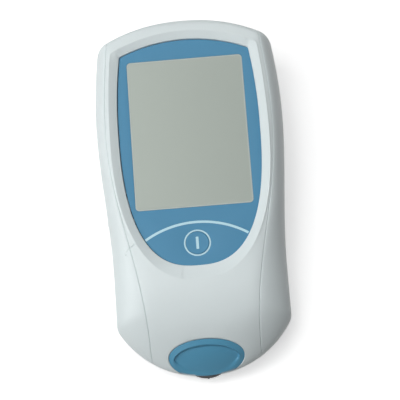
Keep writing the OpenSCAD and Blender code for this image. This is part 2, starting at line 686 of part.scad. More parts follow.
module lcd_frame() color([0.82, 0.82, 0.8]) on_display() {
    difference() {
        translate([-frame_w / 2, -frame_h / 2, frame_z]) cube([frame_w, frame_h, gasket_z - frame_z]);
        translate([-cell_w / 2 - fit, -cell_h / 2 - fit, guide_z - fit]) cube([cell_w + 2 * fit, cell_h + 2 * fit, BIG]);
        translate([-flex_w / 2 - 0.5, -frame_h / 2 - 1, guide_z - fit]) cube([flex_w + 1, frame_wall + 1.5, BIG]);
    }
    for (y = [-leg_y, leg_y]) both_sides([[leg_x, y]])
        translate([0, 0, -board_drop]) cylinder(r = leg_r, h = frame_z + frame_wall / 2 + board_drop);
}

flex_out = -cell_h / 2 - frame_wall - 1.4;
flex_path = [[-cell_h / 2, cell_z + 0.4], [-cell_h / 2 - 1.4, cell_z + 0.3], [flex_out + 0.3, cell_z - 0.4],
    [flex_out, cell_z - 1.6], [flex_out, -board_drop + 2.2], [flex_out + 0.4, -board_drop + 1.2],
    [-cell_h / 2 - 0.5, -board_drop + 0.9]];
module lcd_flex() color([0.75, 0.5, 0.2]) on_display()
    rotate([90, 0, 90]) linear_extrude(flex_w, center = true) polygon(ribbon(flex_path, 0.2));

module flex_socket() color([0.9, 0.88, 0.8]) on_display()
    translate([-flex_w / 2 - 1, -cell_h / 2 - 0.5, -board_drop]) cube([flex_w + 2, 4, 1.9]);

module power_button() color(BLUE) on_display() translate([0, -button_drop, 0]) {
    translate([0, 0, button_flange_z - button_flange_t]) {
        cylinder(r = button_r, h = button_proud - button_flange_z + button_flange_t);
        cylinder(r = button_flange_r, h = button_flange_t);
    }
    translate([0, 0, stem_z]) cylinder(r = button_stem_r, h = button_flange_z - button_flange_t / 2 - stem_z);
}

module switch_plunger() color(BLACK) on_display() translate([0, -button_drop, plunger_z])
    cylinder(r = plunger_r, h = stem_z - plunger_z);

module power_switch() color([0.3, 0.3, 0.32]) on_display() translate([0, -button_drop, 0]) difference() {
    translate([-switch_w / 2, -switch_w / 2, -board_drop]) cube([switch_w, switch_w, switch_h]);
    translate([0, 0, plunger_z - button_travel - 0.2]) cylinder(r = plunger_r + run_gap, h = 10);
}

module main_board() color(BOARD) on_display() difference() {
    translate([0, 0, board_z]) linear_extrude(board_t)
        polygon([[board_corner.x - board_hw, board_low], [board_hw - board_corner.x, board_low],
            [board_hw, board_low + board_corner.y], [board_hw, board_top - board_corner.y],
            [board_hw - board_corner.x, board_top], [board_corner.x - board_hw, board_top],
            [-board_hw, board_top - board_corner.y], [-board_hw, board_low + board_corner.y]]);
    both_sides(board_posts) translate([0, 0, board_z - 1]) cylinder(r = screw_r + 0.2, h = board_t + 2);
}

module board_chips() color(BLACK) on_display()
    for (c = chips) translate([c[0], c[1], board_z - c[4]]) cube([c[2], c[3], c[4]]);

module buzzer() color([0.16, 0.16, 0.17]) on_display() translate([buzzer_at.x, buzzer_at.y, board_z - buzzer_h]) difference() {
    cylinder(r = buzzer_r, h = buzzer_h);
    translate([0, 0, -1]) cylinder(r = 1, h = 2);
}

module infrared_window() color([0.28, 0.08, 0.1]) intersection() {
    translate([0, top_cy, 0]) difference() {
        cylinder(r = top_rad - ir_set, h = BIG, $fn = 96);
        translate([0, 0, -1]) cylinder(r = top_rad - ir_set - ir_t, h = BIG + 2, $fn = 96);
    }
    translate([-ir_hw, top_y - 8, ir_z - ir_h / 2]) cube([2 * ir_hw, 10, ir_h]);
}

module infrared_transceiver() color([0.2, 0.05, 0.07]) on_display() {
    translate([-5, board_top - 4, -board_drop]) cube([10, 4, 4]);
    both_sides([[2.4, board_top]]) translate([0, 0, -board_drop + 2]) sphere(r = 1.5);
}

module power_socket() color(BLACK) on_display() {
    difference() {
        translate([jack_x - jack_w / 2, jack_end - jack_l, board_z - jack_h]) cube([jack_w, jack_l, jack_h]);
        translate([jack_x, jack_end - jack_l + 2, jack_z]) rotate([-90, 0, 0]) cylinder(r = jack_r, h = jack_l);
    }
    translate([jack_x, jack_end - jack_l + 1, jack_z]) rotate([-90, 0, 0]) cylinder(r = jack_pin_r, h = jack_l - 2);
}

module strip_guide_cover() color(BLUE) {
    difference() {
        intersection() {
            strip_zone(cover_gap);
            skin(cover_set);
        }
        skin(cover_set + cover_t);
        difference() {
            egg_prism(cover_hw - cover_rim, dish_front_l, dish_back_l, cover_y - dish_step);
            skin(cover_set + cover_dish);
        }
    }
    difference() {
        tongue(visor_proud, tongue_hw, cover_low + cover_gap, cover_low + cover_gap + visor_h);
        translate([-BIG / 2, -nose_y + cover_t, 0]) cube([BIG, BIG, BIG]);
    }
}

module strip_guide() color(BLACK) difference() {
    union() {
        translate([-guide_w / 2, guide_y, guide_low]) cube([guide_w, guide_l, guide_high - guide_low]);
        tongue(tongue_proud, tongue_hw, strip_z - tongue_half_h, strip_z + tongue_half_h);
    }
    translate([-slot_w / 2, -BIG, strip_low]) cube([slot_w, 2 * BIG, slot_h]);
    translate([-slot_w / 2 - fit, heater_y - fit, guide_low - 1])
        cube([slot_w + 2 * fit, heater_l + 2 * fit, strip_low - guide_low + 1]);
}

module heater_plate() color([0.92, 0.92, 0.9]) {
    translate([-slot_w / 2, heater_y, strip_low - fit - heater_t]) cube([slot_w, heater_l, heater_t]);
    for (y = [1, heater_l - 2]) translate([-2, heater_y + y, small_board_top])
        cube([4, 1, strip_low - fit - heater_t - small_board_top]);
}

module strip_contacts() color([0.2, 0.2, 0.22]) difference() {
    translate([-slot_w / 2 - 2.8, guide_y + guide_l + 0.2, small_board_top])
        cube([slot_w + 5.6, contacts_l, guide_high - small_board_top]);
    translate([-slot_w / 2, guide_y + guide_l - 1, strip_low]) cube([slot_w, contacts_l - 2, slot_h]);
}

module measuring_board() color(BOARD)
    translate([-small_board_w / 2, small_board_y, small_board_z]) cube([small_board_w, small_board_l, small_board_t]);

board_end = display_to_case(board_low + 4, board_z - fit);
small_end = [small_board_y + small_board_l - 3, small_board_top + fit];
sensor_path = [small_end, small_end + [2.5, 0.2], small_end + [5, 1.4], mix(small_end, board_end, 0.5) + [1, -1],
    board_end - [3.5, 1.8], board_end - [1.5, 0.6], board_end + [1.5, tan(tilt) * 1.5]];
module sensor_flex() color([0.75, 0.5, 0.2])
    rotate([90, 0, 90]) linear_extrude(8, center = true) polygon(ribbon(sensor_path, 0.2));

module charging_terminals() color([0.85, 0.7, 0.3]) for (i = [-1 : 1])
    translate([i * terminal_pitch, terminal_y, base_z + 0.3]) {
        cylinder(r = terminal_r, h = terminal_t);
        cylinder(r = terminal_r / 2, h = small_board_z - base_z - 0.3);
    }

module code_chip() color([0.86, 0.88, 0.88]) on_display()
    translate([-chip_out, -chip_drop - chip_w / 2, chip_mid - chip_t / 2]) cube([chip_l, chip_w, chip_t]);

module code_chip_socket() color(BLACK) on_display() difference() {
    translate([-socket_out, -chip_drop - chip_w / 2 - 2, socket_low])
        cube([socket_out - chip_out + chip_l + 2, chip_w + 4, board_z - socket_low]);
    translate([-socket_out - 1, -chip_drop - chip_w / 2 - chip_room, chip_mid - chip_t / 2 - chip_room])
        cube([socket_out - chip_out + chip_l + 1 + chip_room, chip_w + 2 * chip_room, chip_t + 2 * chip_room]);
}

module reset_button() color([0.45, 0.47, 0.5]) translate([0, reset_y, base_z + reset_set]) {
    cylinder(r = reset_r, h = 6);
    cylinder(r = reset_stem_r, h = reset_top + 0.4 - base_z - reset_set);
}

module reset_switch() color([0.3, 0.3, 0.32]) difference() {
    on_display() translate([-switch_w / 2, -reset_drop - switch_w / 2, board_z - reset_switch_h])
        cube([switch_w, switch_w, reset_switch_h]);
    translate([0, reset_y, reset_top - 5]) cylinder(r = reset_stem_r + run_gap, h = 5 + 0.4 + reset_travel + 0.3);
}

module battery_door() color(CASE) difference() {
    union() {
        translate([-door_w / 2, cell_y - door_l / 2, base_z]) cube([door_w, door_l, door_t]);
        translate([-well_w / 2 + door_gap, cell_y - well_l / 2 + door_gap, base_z])
            cube([well_w - 2 * door_gap, well_l - 2 * door_gap, door_top - base_z]);
    }
    for (i = [0 : 6]) translate([-grip_w / 2, cell_y - well_l / 2 + 4 + grip_pitch * i, base_z - 1])
        cube([grip_w, grip_pitch / 2, 1.4]);
}

module battery(i) translate([(i - 2.5) * cell_pitch, cell_y, cell_mid_z]) rotate([i % 2 == 0 ? 90 : -90, 0, 0]) {
    color([0.25, 0.4, 0.3]) translate([0, 0, -cell_l / 2]) cylinder(r = cell_d / 2, h = cell_l - nub_l);
    color(METAL) translate([0, 0, cell_l / 2 - nub_l - fit]) cylinder(r = nub_r, h = nub_l + fit);
}
module battery_1() battery(1);
module battery_2() battery(2);
module battery_3() battery(3);
module battery_4() battery(4);

// Bent sheet contacts: a plate on the well's end wall and a leaf that bows out to the cell
contact_w = 10;
contact_t = 0.4;
leaf_w = 4;
leaf_bow = contact_room - 0.75 * contact_t;
leaf_z = 0.36 * contact_w;
module contact(y, s) translate([0, y, 0]) scale([1, s, 1]) {
    translate([-contact_w / 2, fit, cell_mid_z - contact_w / 2]) cube([contact_w, contact_t, contact_w]);
    translate([-leaf_w / 2, 0, cell_mid_z]) rotate([90, 0, 90]) linear_extrude(leaf_w)
        polygon(ribbon([[contact_t, -leaf_z], [0.8 * leaf_bow, -leaf_z * 2 / 3], [leaf_bow, -leaf_z / 4],
            [leaf_bow, leaf_z / 4], [0.8 * leaf_bow, leaf_z * 2 / 3], [0.4 * leaf_bow, leaf_z * 0.9]], 0.75 * contact_t));
}
module contact_row(y, s) for (i = [1 : 4]) translate([(i - 2.5) * cell_pitch, 0, 0]) contact(y, s);
module nose_contacts() color(METAL) contact_row(cell_y - well_l / 2, 1);
module end_contacts() color(METAL) contact_row(cell_y + well_l / 2, -1);

module screw(l) {
    cylinder(r = screw_r, h = l);
    translate([0, 0, -head_h]) difference() {
        cylinder(r = head_r, h = head_h);
        for (a = [0, 90]) rotate(a) translate([-1.3, -0.25, -0.1]) cube([2.6, 0.5, 0.9]);
    }
}
module case_screws() color(METAL) for (p = case_posts) both_sides([p])
    translate([0, 0, split(p.y) - screw_step]) screw(screw_step + screw_bite);
module board_screws() color(METAL) on_display() both_sides(board_posts)
    translate([0, 0, board_z]) screw(board_t + board_bite);

module rubber_feet() color([0.35, 0.36, 0.38]) both_sides(feet) cylinder(r = foot_r, h = base_z + foot_set);

top_cover();
bottom_cover();
display_panel();
touch_screen();
display_gasket();
lcd_cell();
light_guide();
lcd_frame();
lcd_flex();
flex_socket();
power_button();
switch_plunger();
power_switch();
main_board();
board_chips();
buzzer();
infrared_window();
infrared_transceiver();
power_socket();
strip_guide_cover();
strip_guide();
heater_plate();
strip_contacts();
measuring_board();
sensor_flex();
charging_terminals();
code_chip();
code_chip_socket();
reset_button();
reset_switch();
battery_door();
battery_1();
battery_2();
battery_3();
battery_4();
nose_contacts();
end_contacts();
case_screws();
board_screws();
rubber_feet();
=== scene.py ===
"""Looks of a hand-held blood coagulation meter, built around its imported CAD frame.

Lengths in this script are millimetres until solid() turns them into metres.
+Y points to the infrared end, -Y to the strip end, +Z out of the display side.
"""
import json
import math

import bpy
import bmesh
import numpy as np
from mathutils import Matrix, Vector
from mathutils.geometry import delaunay_2d_cdt


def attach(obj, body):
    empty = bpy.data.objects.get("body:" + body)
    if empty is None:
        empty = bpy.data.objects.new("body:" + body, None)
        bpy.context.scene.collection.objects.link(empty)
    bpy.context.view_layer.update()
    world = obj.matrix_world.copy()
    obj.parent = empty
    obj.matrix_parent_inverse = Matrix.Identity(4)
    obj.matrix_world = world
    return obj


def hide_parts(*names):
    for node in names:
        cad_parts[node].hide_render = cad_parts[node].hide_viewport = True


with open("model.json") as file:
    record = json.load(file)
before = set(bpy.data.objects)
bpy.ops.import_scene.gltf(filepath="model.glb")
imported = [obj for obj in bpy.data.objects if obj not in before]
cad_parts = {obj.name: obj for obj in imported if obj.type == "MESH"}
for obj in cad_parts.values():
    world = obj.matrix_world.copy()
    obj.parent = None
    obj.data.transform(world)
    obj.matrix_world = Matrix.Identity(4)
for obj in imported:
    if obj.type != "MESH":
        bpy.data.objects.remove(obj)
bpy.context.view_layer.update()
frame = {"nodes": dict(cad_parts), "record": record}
nodes = frame["nodes"]

MM = 0.001

# Case outline, and the columns on its nose, hip, side, shoulder and end
TOP_Y, NOSE_Y = 92.5, 91.7
BODY_W, HIP_W, HIP_R, HIP_Y = 96.8, 88.0, 7.0, 64.2
SHOULDER_R, SHOULDER_Y, SHOULDER_TAPER = 6.5, 76.5, 2.5
WAIST_Y, WIDE_Y = 39.0, 41.0
NOSE_N, HIP_N, SIDE_N, SHOULDER_N, END_N = 70, 18, 76, 16, 46
# Case section, and the stretches of y over which its values change
BODY_H, WALL, TILT, FOOT_H = 43.0, 2.2, math.radians(4), 0.8
NOSE_MID, HIP_MID, HEAD_MID, END_MID = 10.0, 13.0, 20.0, 23.0
NOSE_ROLL, HIP_ROLL, HEAD_ROLL, END_ROLL = 26.0, 22.0, 8.6, 8.3
TUCK, POWER, FRONT_FALL, CROWN = 8.0, 2.3, 0.0085, 3.0
NOSE_SPAN, CROWN_SPAN, MID_SPAN = (-NOSE_Y, -HIP_Y), (-75, -45), (-50, 30)
ROLL_SPAN, END_SPAN = (-55, -5), (60, TOP_Y)
SPINE_MID, SPINE_REACH, TARGET_MID, TARGET_REACH = 2.0, 66.0, 16.0, 46.0
# Way up the section where the drawn wall ends, kept between two shares of its room
ROLL_WAY, ROLL_LEAST, ROLL_MOST = 0.8, 0.2, 0.5
# Parting, and the angles of extra columns where the seam leaves the nose and the end
SEAM_NOSE, SEAM_HEAD, SEAM_LOW_Y, SEAM_HIGH_Y = 27.4, 42.4, 78.0, 29.0
SEAM_TAPER, SEAM_END, SEAM_PAST, SPLIT_Z = 3.0, 38.5, 0.3, 15.4
SEAM_HALF_GAP, SEAM_EDGE, SEAM_LOW_EDGE, SEAM_LIP = 0.045, 0.25, 0.5, 2.0
NOSE_EXTRA, END_EXTRA = np.linspace(-0.012, 0.03, 12), np.linspace(-0.01, 0.01, 8)
# Display and bezel
LCD_W, LCD_H, LCD_R, LCD_Y, BEZEL_RISE = 59.5, 79.1, 2.0, 28.6, 2.0
PANEL = dict(hw=36.0, y0=5.0, cx=33.2, cy=42.8, top=50.0, bottom=69.5, power=2.63)
RIDGE = dict(hw=40.3, y0=0.0, cx=37.7, cy=44.6, top=54.0, bottom=77.1, power=2.35)
PANEL_T, PANEL_GAP, PANEL_IN, PANEL_SHIFT = 1.6, 0.12, 0.12, 0.16
PANEL_ROUND, RIDGE_ROUND, SKIN_ROUND, TURN_MM = 0.5, 1.4, 1.6, 2
FOOT_RISE, FOOT_EDGE, RIDGE_EDGE, RIDGE_LIFT = 0.55, 0.22, 0.25, 0.35
OPENING_D, UNDER_D = 2.6, 3.6
CENTRE = np.array([0.0, -8.0])
BORDER_W, PANE_DROP, PANE_EDGE, BORDER_DROP, BORDER_EDGE = 0.7, 0.06, 0.02, 0.04, 0.14
FILM_EDGE, PANE_SEAT = 0.12, 0.2
# Power key and prints
BUTTON_DROP, BUTTON_R, BUTTON_PROUD, BUTTON_EDGE, BUTTON_HOLLOW = 58.1, 5.85, 0.15, 0.5, 0.22
SKIRT_W, SKIRT_TOP, SKIRT_LOW, STEM_R, STEM_LOW = 1.3, -1.65, -2.55, 2.0, -5.0
ARC_R, ARC_TOP, ARC_W, RING_R, BAR_W, BAR_L = 48.0, -47.4, 1.25, 6.75, 1.35, 6.3
PRINT_LOW, PRINT_TOP, BAR_LOW, ARC_INSET, RING_GAP = -0.05, 0.03, -0.4, 0.25, 0.14
# Strip module
COVER_HW, COVER_FRONT, COVER_BACK, COVER_INSET = 19.0, 9.0, 7.3, 8.2
COVER_GAP, COVER_SET, COVER_EDGE, COVER_N, LID_Y = 0.09, 0.42, 0.35, 288, -84.5
DISH_HW, DISH_FRONT, DISH_BACK, DISH_STEP = 16.3, 8.0, 5.4, 1.1
DISH_DEPTH, DISH_CROWN, RIM_RISE, STEP_OUT, STEP_W, STEP_FADE = 1.1, 0.9, 0.75, 0.2, 0.4, 3.2
RIM_LEAST, RIM_FULL, FADE_FROM, FADE_TO = 0.8, 1.5, -1.2, 2.8
BROW_HW, BROW_L, BROW_FALL, VISOR_PROUD = 6.8, 5.5, 0.5, 0.45
LID_T, LID_SKIRT, LID_WALL, LID_LIFT, OPENING_LOW, OPENING_EDGE = 3.4, 2.4, 1.5, 0.3, 4.0, 0.45
TONGUE_HW, TONGUE_R, TONGUE_PROUD, TONGUE_HALF_H = 6.2, 13.6, 0.9, 1.1
STRIP_Z, SLOT_W, SLOT_H, NUB_R, GUIDE_INSET = 7.8, 8.4, 1.0, 0.55, 4.8
GUIDE_W, GUIDE_L, GUIDE_HALF_H, TONGUE_ROOM, MOUTH_L, MOUTH_TOP = 17, 18.5, 2.6, 0.3, 40, 16.6
# Battery bay
WELL_W, WELL_L, CELL_Y, DOOR_LAP, DOOR_T, DOOR_GAP = 60.0, 55.7, 38.0, 2.0, 1.2, 0.3
WELL_TOP, WELL_WALL, CELL_STEP, CELL_Z = 18.3, 1.4, 14.8, 10.75
# Back: places of feet, posts, terminals, reset key and sound holes
FEET = [(27.3, 73.2), (-27.3, 73.2), (27.0, -68.0), (-27.0, -68.0)]
POSTS = [(36.9, 74.0), (-36.9, 74.0), (23.0, -56.0), (-23.0, -56.0)]
TERMINALS = [(-8.0, -57.0), (0.0, -57.0), (8.0, -57.0)]
FOOT_R, FOOT_SET, POST_R, SCREW_STEP, SCREW_HOLE_R = 4.2, 0.6, 3.4, 3.0, 2.6
RESET_Y, RESET_R, RESET_SET, RESET_TOP = -21.278, 2.4, 0.5, 20.06
RESET_WALL, RESET_WALL_TOP, TERMINAL_HOLE_R, TERMINAL_DEPTH = 1.6, 9.9, 2.2, 3.5
SOUND_X, SOUND_Y, SOUND_STEP, SOUND_R, ROOT_Z = 16.0, -7.312, 3, 0.7, 2.0
# Code chip and its scoop
CHIP_OUT, CHIP_V, CHIP_H, CHIP_L, CHIP_W, CHIP_T = 45.42, -36.0, -17.1, 20.0, 14.0, 2.2
SCOOP_R, SCOOP_D, SCOOP_Y, SCOOP_FLARE, SCOOP_PAST = 12.0, 1.2, -6.12, -0.9, 3
# End wall
IR_HW, IR_H, IR_Z, IR_SET, IR_T, IR_ROUND = 8.0, 6.0, 32.5, 1.5, 2.4, 0.4
JACK_X, JACK_H, JACK_R, JACK_END, JACK_L = 27.0, -14.4, 2.8, 54.696, 11.5
# Short moulded line across the left seam, and the dimple at its end
LINE_FROM, LINE_TO, LINE_N = (-30.95, -28.05), (-35.95, -31.4), 36
LINE_HALF, LINE_DEPTH = 0.24, 0.32
DIMPLE_R, DIMPLE_X, DIMPLE_Y = 0.5, -36.05, -32.8
DIMPLE_LEVELS = [(-0.25, 32.4), (0.15, 33.4), (0.3, 36.0)]
# Clearance between parts, wider clearance round them, and lengths beyond them all
FIT, ROOM, ABOVE, REACH = 0.1, 0.4, 60.0, 100.0

COS_T, SIN_T, TAN_T = math.cos(TILT), math.sin(TILT), math.tan(TILT)


# ---------------------------------------------------------------- shape of the case

def ease(y, lo, hi):
    """Smooth step 3t^2 - 2t^3 from 0 at lo to 1 at hi."""
    t = np.clip((y - lo) / (hi - lo), 0, 1)
    return t * t * (3 - 2 * t)


def halve(test, lo, hi):
    """Values next to where test turns false on the way from lo to hi, by halving the stretch."""
    for _ in range(50):
        r = (lo + hi) / 2
        on = test(r)
        lo, hi = np.where(on, r, lo), np.where(on, hi, r)
    return lo, hi


def side_x(y):
    """Half width along the side: a smooth step from hips to head, less a squared taper."""
    return (HIP_W / 2 + (BODY_W - HIP_W) / 2 * ease(y, -WAIST_Y, WIDE_Y)
            - SHOULDER_TAPER * (np.maximum(y - WIDE_Y, 0) / (SHOULDER_Y - WIDE_Y)) ** 2)


RIDGE_Y = LCD_Y + RIDGE["top"] * COS_T
FRONT_Y = RIDGE["bottom"] * COS_T - LCD_Y


def plane_z(y):
    """Height of the sloping plane that the ridge lies in."""
    return BODY_H - TAN_T * (RIDGE_Y - y)


DISPLAY_Z = plane_z(LCD_Y) - BEZEL_RISE / COS_T


def top_z(x, y):
    """Ridge plane, less a squared fall in front of the display and a crown across the nose."""
    return (plane_z(y) - FRONT_FALL * np.maximum(-FRONT_Y - y, 0) ** 2
            - CROWN * (1 - ease(y, *CROWN_SPAN)) * (2 * x / HIP_W) ** 2)


def stepped(y, nose, hip, head, end, head_span):
    """A value that takes smooth steps from nose to hips, head and end."""
    return (nose + (hip - nose) * ease(y, *NOSE_SPAN) + (head - hip) * ease(y, *head_span)
            + (end - head) * ease(y, *END_SPAN))


def seam_x(y):
    """Half distance between the side seams: a smooth step less a squared taper."""
    past = np.maximum(y - SEAM_HIGH_Y, 0) / (SHOULDER_Y - SEAM_HIGH_Y)
    return (SEAM_NOSE + (SEAM_HEAD - SEAM_NOSE) * ease(y, -SEAM_LOW_Y, SEAM_HIGH_Y)
            - SEAM_TAPER * past ** 2)


def split_z(y):
    """Height of the parting plane in the end walls."""
    return SPLIT_Z + TAN_T * y


def arc(centre, r, t):
    """Points of a circle at angles t."""
    return centre + r * np.stack([np.cos(t), np.sin(t)], 1)


def half_outline(fine=1):
    """Right half of the outline: nose arc, hip arc, side, shoulder arc and end arc.

    Columns stand closer together where the seams leave the walls. fine multiplies their number.
    The heights and radii of the end's and the nose's circles are given too.
    """
    hip = np.array([HIP_W / 2 - HIP_R, -HIP_Y])
    nose_in = NOSE_Y - HIP_R
    nose_c = (hip @ hip - nose_in ** 2) / (2 * (nose_in - HIP_Y))
    nose_r = nose_c + NOSE_Y
    hip_a = math.atan2(hip[1] - nose_c, hip[0])
    turn = math.atan(2 * SHOULDER_TAPER / (SHOULDER_Y - WIDE_Y))
    shoulder = (np.array([side_x(SHOULDER_Y), SHOULDER_Y])
                - SHOULDER_R * np.array([math.cos(turn), math.sin(turn)]))
    top_in = TOP_Y - SHOULDER_R
    top_c = (shoulder @ shoulder - top_in ** 2) / (2 * (shoulder[1] - top_in))
    top_r = TOP_Y - top_c
    top_a = math.atan2(shoulder[1] - top_c, shoulder[0])
    near = -math.acos((SEAM_NOSE + SEAM_PAST) / nose_r) + NOSE_EXTRA
    nose_t = np.union1d(np.linspace(-math.pi / 2, hip_a, NOSE_N * fine), near)
    y = np.linspace(-HIP_Y, SHOULDER_Y, SIDE_N * fine)[1:]
    end_t = np.union1d(np.linspace(top_a, math.pi / 2, END_N * fine)[1:],
                       math.acos(SEAM_END / top_r) + END_EXTRA)
    pts = np.concatenate([
        arc([0, nose_c], nose_r, nose_t),
        arc(hip, HIP_R, np.linspace(hip_a, 0, HIP_N * fine)[1:]),
        np.stack([side_x(y), y], 1),
        arc(shoulder, SHOULDER_R, np.linspace(turn, top_a, SHOULDER_N * fine)[1:]),
        arc([0, top_c], top_r, end_t[end_t > top_a + 1e-4])])
    pts[0, 0] = pts[-1, 0] = 0
    return pts, (top_c, top_r), (nose_c, nose_r)


HALF, (TOP_C, TOP_R), (NOSE_C, NOSE_R) = half_outline()
LOOP = np.concatenate([HALF, (HALF * [-1, 1])[-2:0:-1]])


def middle(y, mid, reach):
    """Point on the middle line for outline height y: a sine about mid, reach long each way."""
    a = np.radians(90 * (2 * y - TOP_Y + NOSE_Y) / (TOP_Y + NOSE_Y))
    return np.stack([0 * y, mid + reach * np.sin(a)], -1)


class Columns:
    """The section at each outline point: start, direction to the spine, length and heights."""

    def __init__(self, pts):
        y = pts[:, 1]
        self.q = pts
        self.spine = middle(y, SPINE_MID, SPINE_REACH)
        self.u = (self.spine - pts) / np.linalg.norm(self.spine - pts, axis=1)[:, None]
        self.mid = stepped(y, NOSE_MID, HIP_MID, HEAD_MID, END_MID, MID_SPAN)[:, None]
        self.roll = stepped(y, NOSE_ROLL, HIP_ROLL, HEAD_ROLL, END_ROLL, ROLL_SPAN)[:, None]
        self.target = middle(y, TARGET_MID, TARGET_REACH)

    def at(self, w):
        """Skin point at way w: -1 edge of the back, 0 widest line, 1 end of the roll, 2 middle.

        Below 1 the section is a superellipse quarter, above 1 it follows the top surface.
        """
        a = np.pi / 2 * np.clip(np.abs(w), 0, 1)
        curl = 1 - np.clip(np.cos(a), 0, 1) ** (2 / POWER)
        lift = np.sin(a) ** (2 / POWER)
        d = np.where(w < 0, TUCK, self.roll) * curl
        on = np.maximum(w - 1, 0)
        x = (self.q[:, :1] + self.u[:, :1] * d) * (1 - on) + self.target[:, :1] * on
        y = (self.q[:, 1:] + self.u[:, 1:] * d) * (1 - on) + self.target[:, 1:] * on
        end = np.where(w < 0, FOOT_H, top_z(x, y))
        return np.stack([x, y, self.mid + (end - self.mid) * lift], -1)

    def solve(self, test, lo, hi):
        """Way at which test, negative near lo and positive near hi, changes sign."""
        lo = np.full((len(self.q), 1), float(lo))
        lo, hi = halve(lambda w: test(self.at(w)) <= 0, lo, np.broadcast_to(hi, lo.shape))
        return (lo + hi) / 2

    def normals(self, w):
        """Outward unit normals at w, from differences along and across the columns."""
        e = 1e-3
        up = self.at(w + e) - self.at(w - e)
        p = self.at(w)
        along = np.roll(p, -1, 0) - np.roll(p, 1, 0)
        n = np.cross(along, up)
        return n / np.linalg.norm(n, axis=-1, keepdims=True)

    def step(self, w, mm):
        """Way reached from w after mm millimetres along the section."""
        e = 1e-3
        speed = np.linalg.norm(self.at(w + e) - self.at(w - e), axis=-1) / (2 * e)
        return w + mm / speed


def display_xyz(x, v, h):
    """Case point of the display frame's: v up the display, h out of it, turned by the tilt."""
    return np.stack([x, LCD_Y + v * COS_T - h * SIN_T, DISPLAY_Z + v * SIN_T + h * COS_T], -1)


def window_side(v, hw, y0, cx, cy, top, bottom, power):
    """Half width of a display window at v: superellipse below y0, parabola above it."""
    low = np.clip((y0 - v) / (bottom + y0), 0, 1)
    below = hw * np.clip(1 - low ** power, 0, 1) ** (1 / power)
    above = hw - (hw - cx) * np.clip((v - y0) / (cy - y0), 0, 1.5) ** 2
    return np.where(v < y0, below, above)


def window_test(x, v, round_top, window):
    """Positive inside a display window: smooth minimum of the distances of side and top arc."""
    side = window_side(v, **window) - np.abs(x)
    rise = window["top"] - window["cy"]
    r = (window["cx"] ** 2 + rise ** 2) / (2 * rise)
    top = r - np.hypot(x, v - window["top"] + r)
    gap = np.clip(round_top - np.abs(side - top), 0, None) / round_top
    return np.minimum(side, top) - gap ** 2 * round_top / 4


def grown(window, d):
    """The values of a display window that is d larger on every side."""
    return {**window, **{key: window[key] + d for key in ("hw", "cx", "top", "bottom")}}


def window_loop(n, round_top, window):
    """Outline of a display window: where the test is zero on each ray from its middle.

    The rays are respaced so that each step covers the same length plus TURN_MM per radian turned.
    """
    a = np.linspace(0, 2 * np.pi, 4001)
    x, y = np.cos(a), np.sin(a)
    r, _ = halve(lambda r: window_test(r * x, r * y, round_top, window) > 0, 0 * a, 0 * a + REACH)
    p = np.stack([r * x, r * y], 1)
    step = np.diff(p, axis=0)
    turn = np.unwrap(np.arctan2(step[:, 1], step[:, 0]))
    turned = np.abs(np.diff(turn, append=turn[-1]))
    run = np.linalg.norm(step, axis=1) + TURN_MM * turned
    way = np.concatenate([[0], np.cumsum(run)])
    t = np.linspace(0, way[-1], n, endpoint=False)
    return np.stack([np.interp(t, way, p[:, 0]), np.interp(t, way, p[:, 1])], 1)


COLS = Columns(LOOP)
FINE_COLS = Columns(half_outline(4)[0])


def skin_z(x, y):
    """Height of the upper skin over (x, y): the section whose line to the spine passes there."""
    shape = x.shape
    x, y = np.maximum(np.abs(x).ravel(), 1e-6), y.ravel()
    c = FINE_COLS
    q, u = c.q, c.u
    cross = (x[:, None] - q[:, 0]) * u[:, 1] - (y[:, None] - q[:, 1]) * u[:, 0]
    k = np.argmax((cross[:, :-1] > 0) != (cross[:, 1:] > 0), 1)
    i = np.arange(len(x))
    t = cross[i, k] / (cross[i, k] - cross[i, k + 1] + 1e-12)

    def mix(v):
        return v[k] * (1 - t) + v[k + 1] * t
    d = (x - mix(q[:, 0])) * mix(u[:, 0]) + (y - mix(q[:, 1])) * mix(u[:, 1])
    mid = mix(c.mid[:, 0])
    out = np.clip(d / mix(c.roll[:, 0]), 0, 1)
    a = np.arccos(np.clip((1 - out) ** (POWER / 2), 0, 1))
    return (mid + (top_z(x, y) - mid) * np.sin(a) ** (2 / POWER)).reshape(shape)


# ---------------------------------------------------------------- mesh making

def grid_faces(rows, cols, wrap_rows=False, wrap_cols=False, first=0):
    """Quads between neighbouring rows and columns of a grid of points, closed where asked."""
    i = np.arange(rows if wrap_rows else rows - 1)
    j = np.arange(cols if wrap_cols else cols - 1)
    i, j = np.meshgrid(i, j, indexing="ij")
    a, b = (i + 1) % rows, (j + 1) % cols
    quads = np.stack([i * cols + j, a * cols + j, a * cols + b, i * cols + b], -1)
    return first + quads.reshape(-1, 4)


def solid(name, points, faces, finish, body="housing", instead=None, angle=35):
    """A mesh object from points in mm: doubles merged, faces outwards, smooth up to angle.

    It rides on its body, stands for its CAD node and takes its finish as its material.
    """
    mesh = bpy.data.meshes.new(name)
    mesh.from_pydata((points * MM).tolist(), [], [f for group in faces for f in group.tolist()])
    bm = bmesh.new()
    bm.from_mesh(mesh)
    bmesh.ops.remove_doubles(bm, verts=bm.verts, dist=2e-7)
    bmesh.ops.dissolve_degenerate(bm, dist=1e-8, edges=bm.edges)
    bmesh.ops.recalc_face_normals(bm, faces=bm.faces)
    bm.to_mesh(mesh)
    bm.free()
    mesh.materials.append(finish)
    obj = bpy.data.objects.new(name, mesh)
    bpy.context.scene.collection.objects.link(obj)
    smooth(obj, angle)
    if body:
        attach(obj, body)
        if instead:
            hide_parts(instead)
    return obj


def smooth(obj, angle=35):
    """Smooth shading, with edges sharper than angle kept."""
    obj.data.shade_smooth()
    obj.data.set_sharp_from_angle(angle=math.radians(angle))


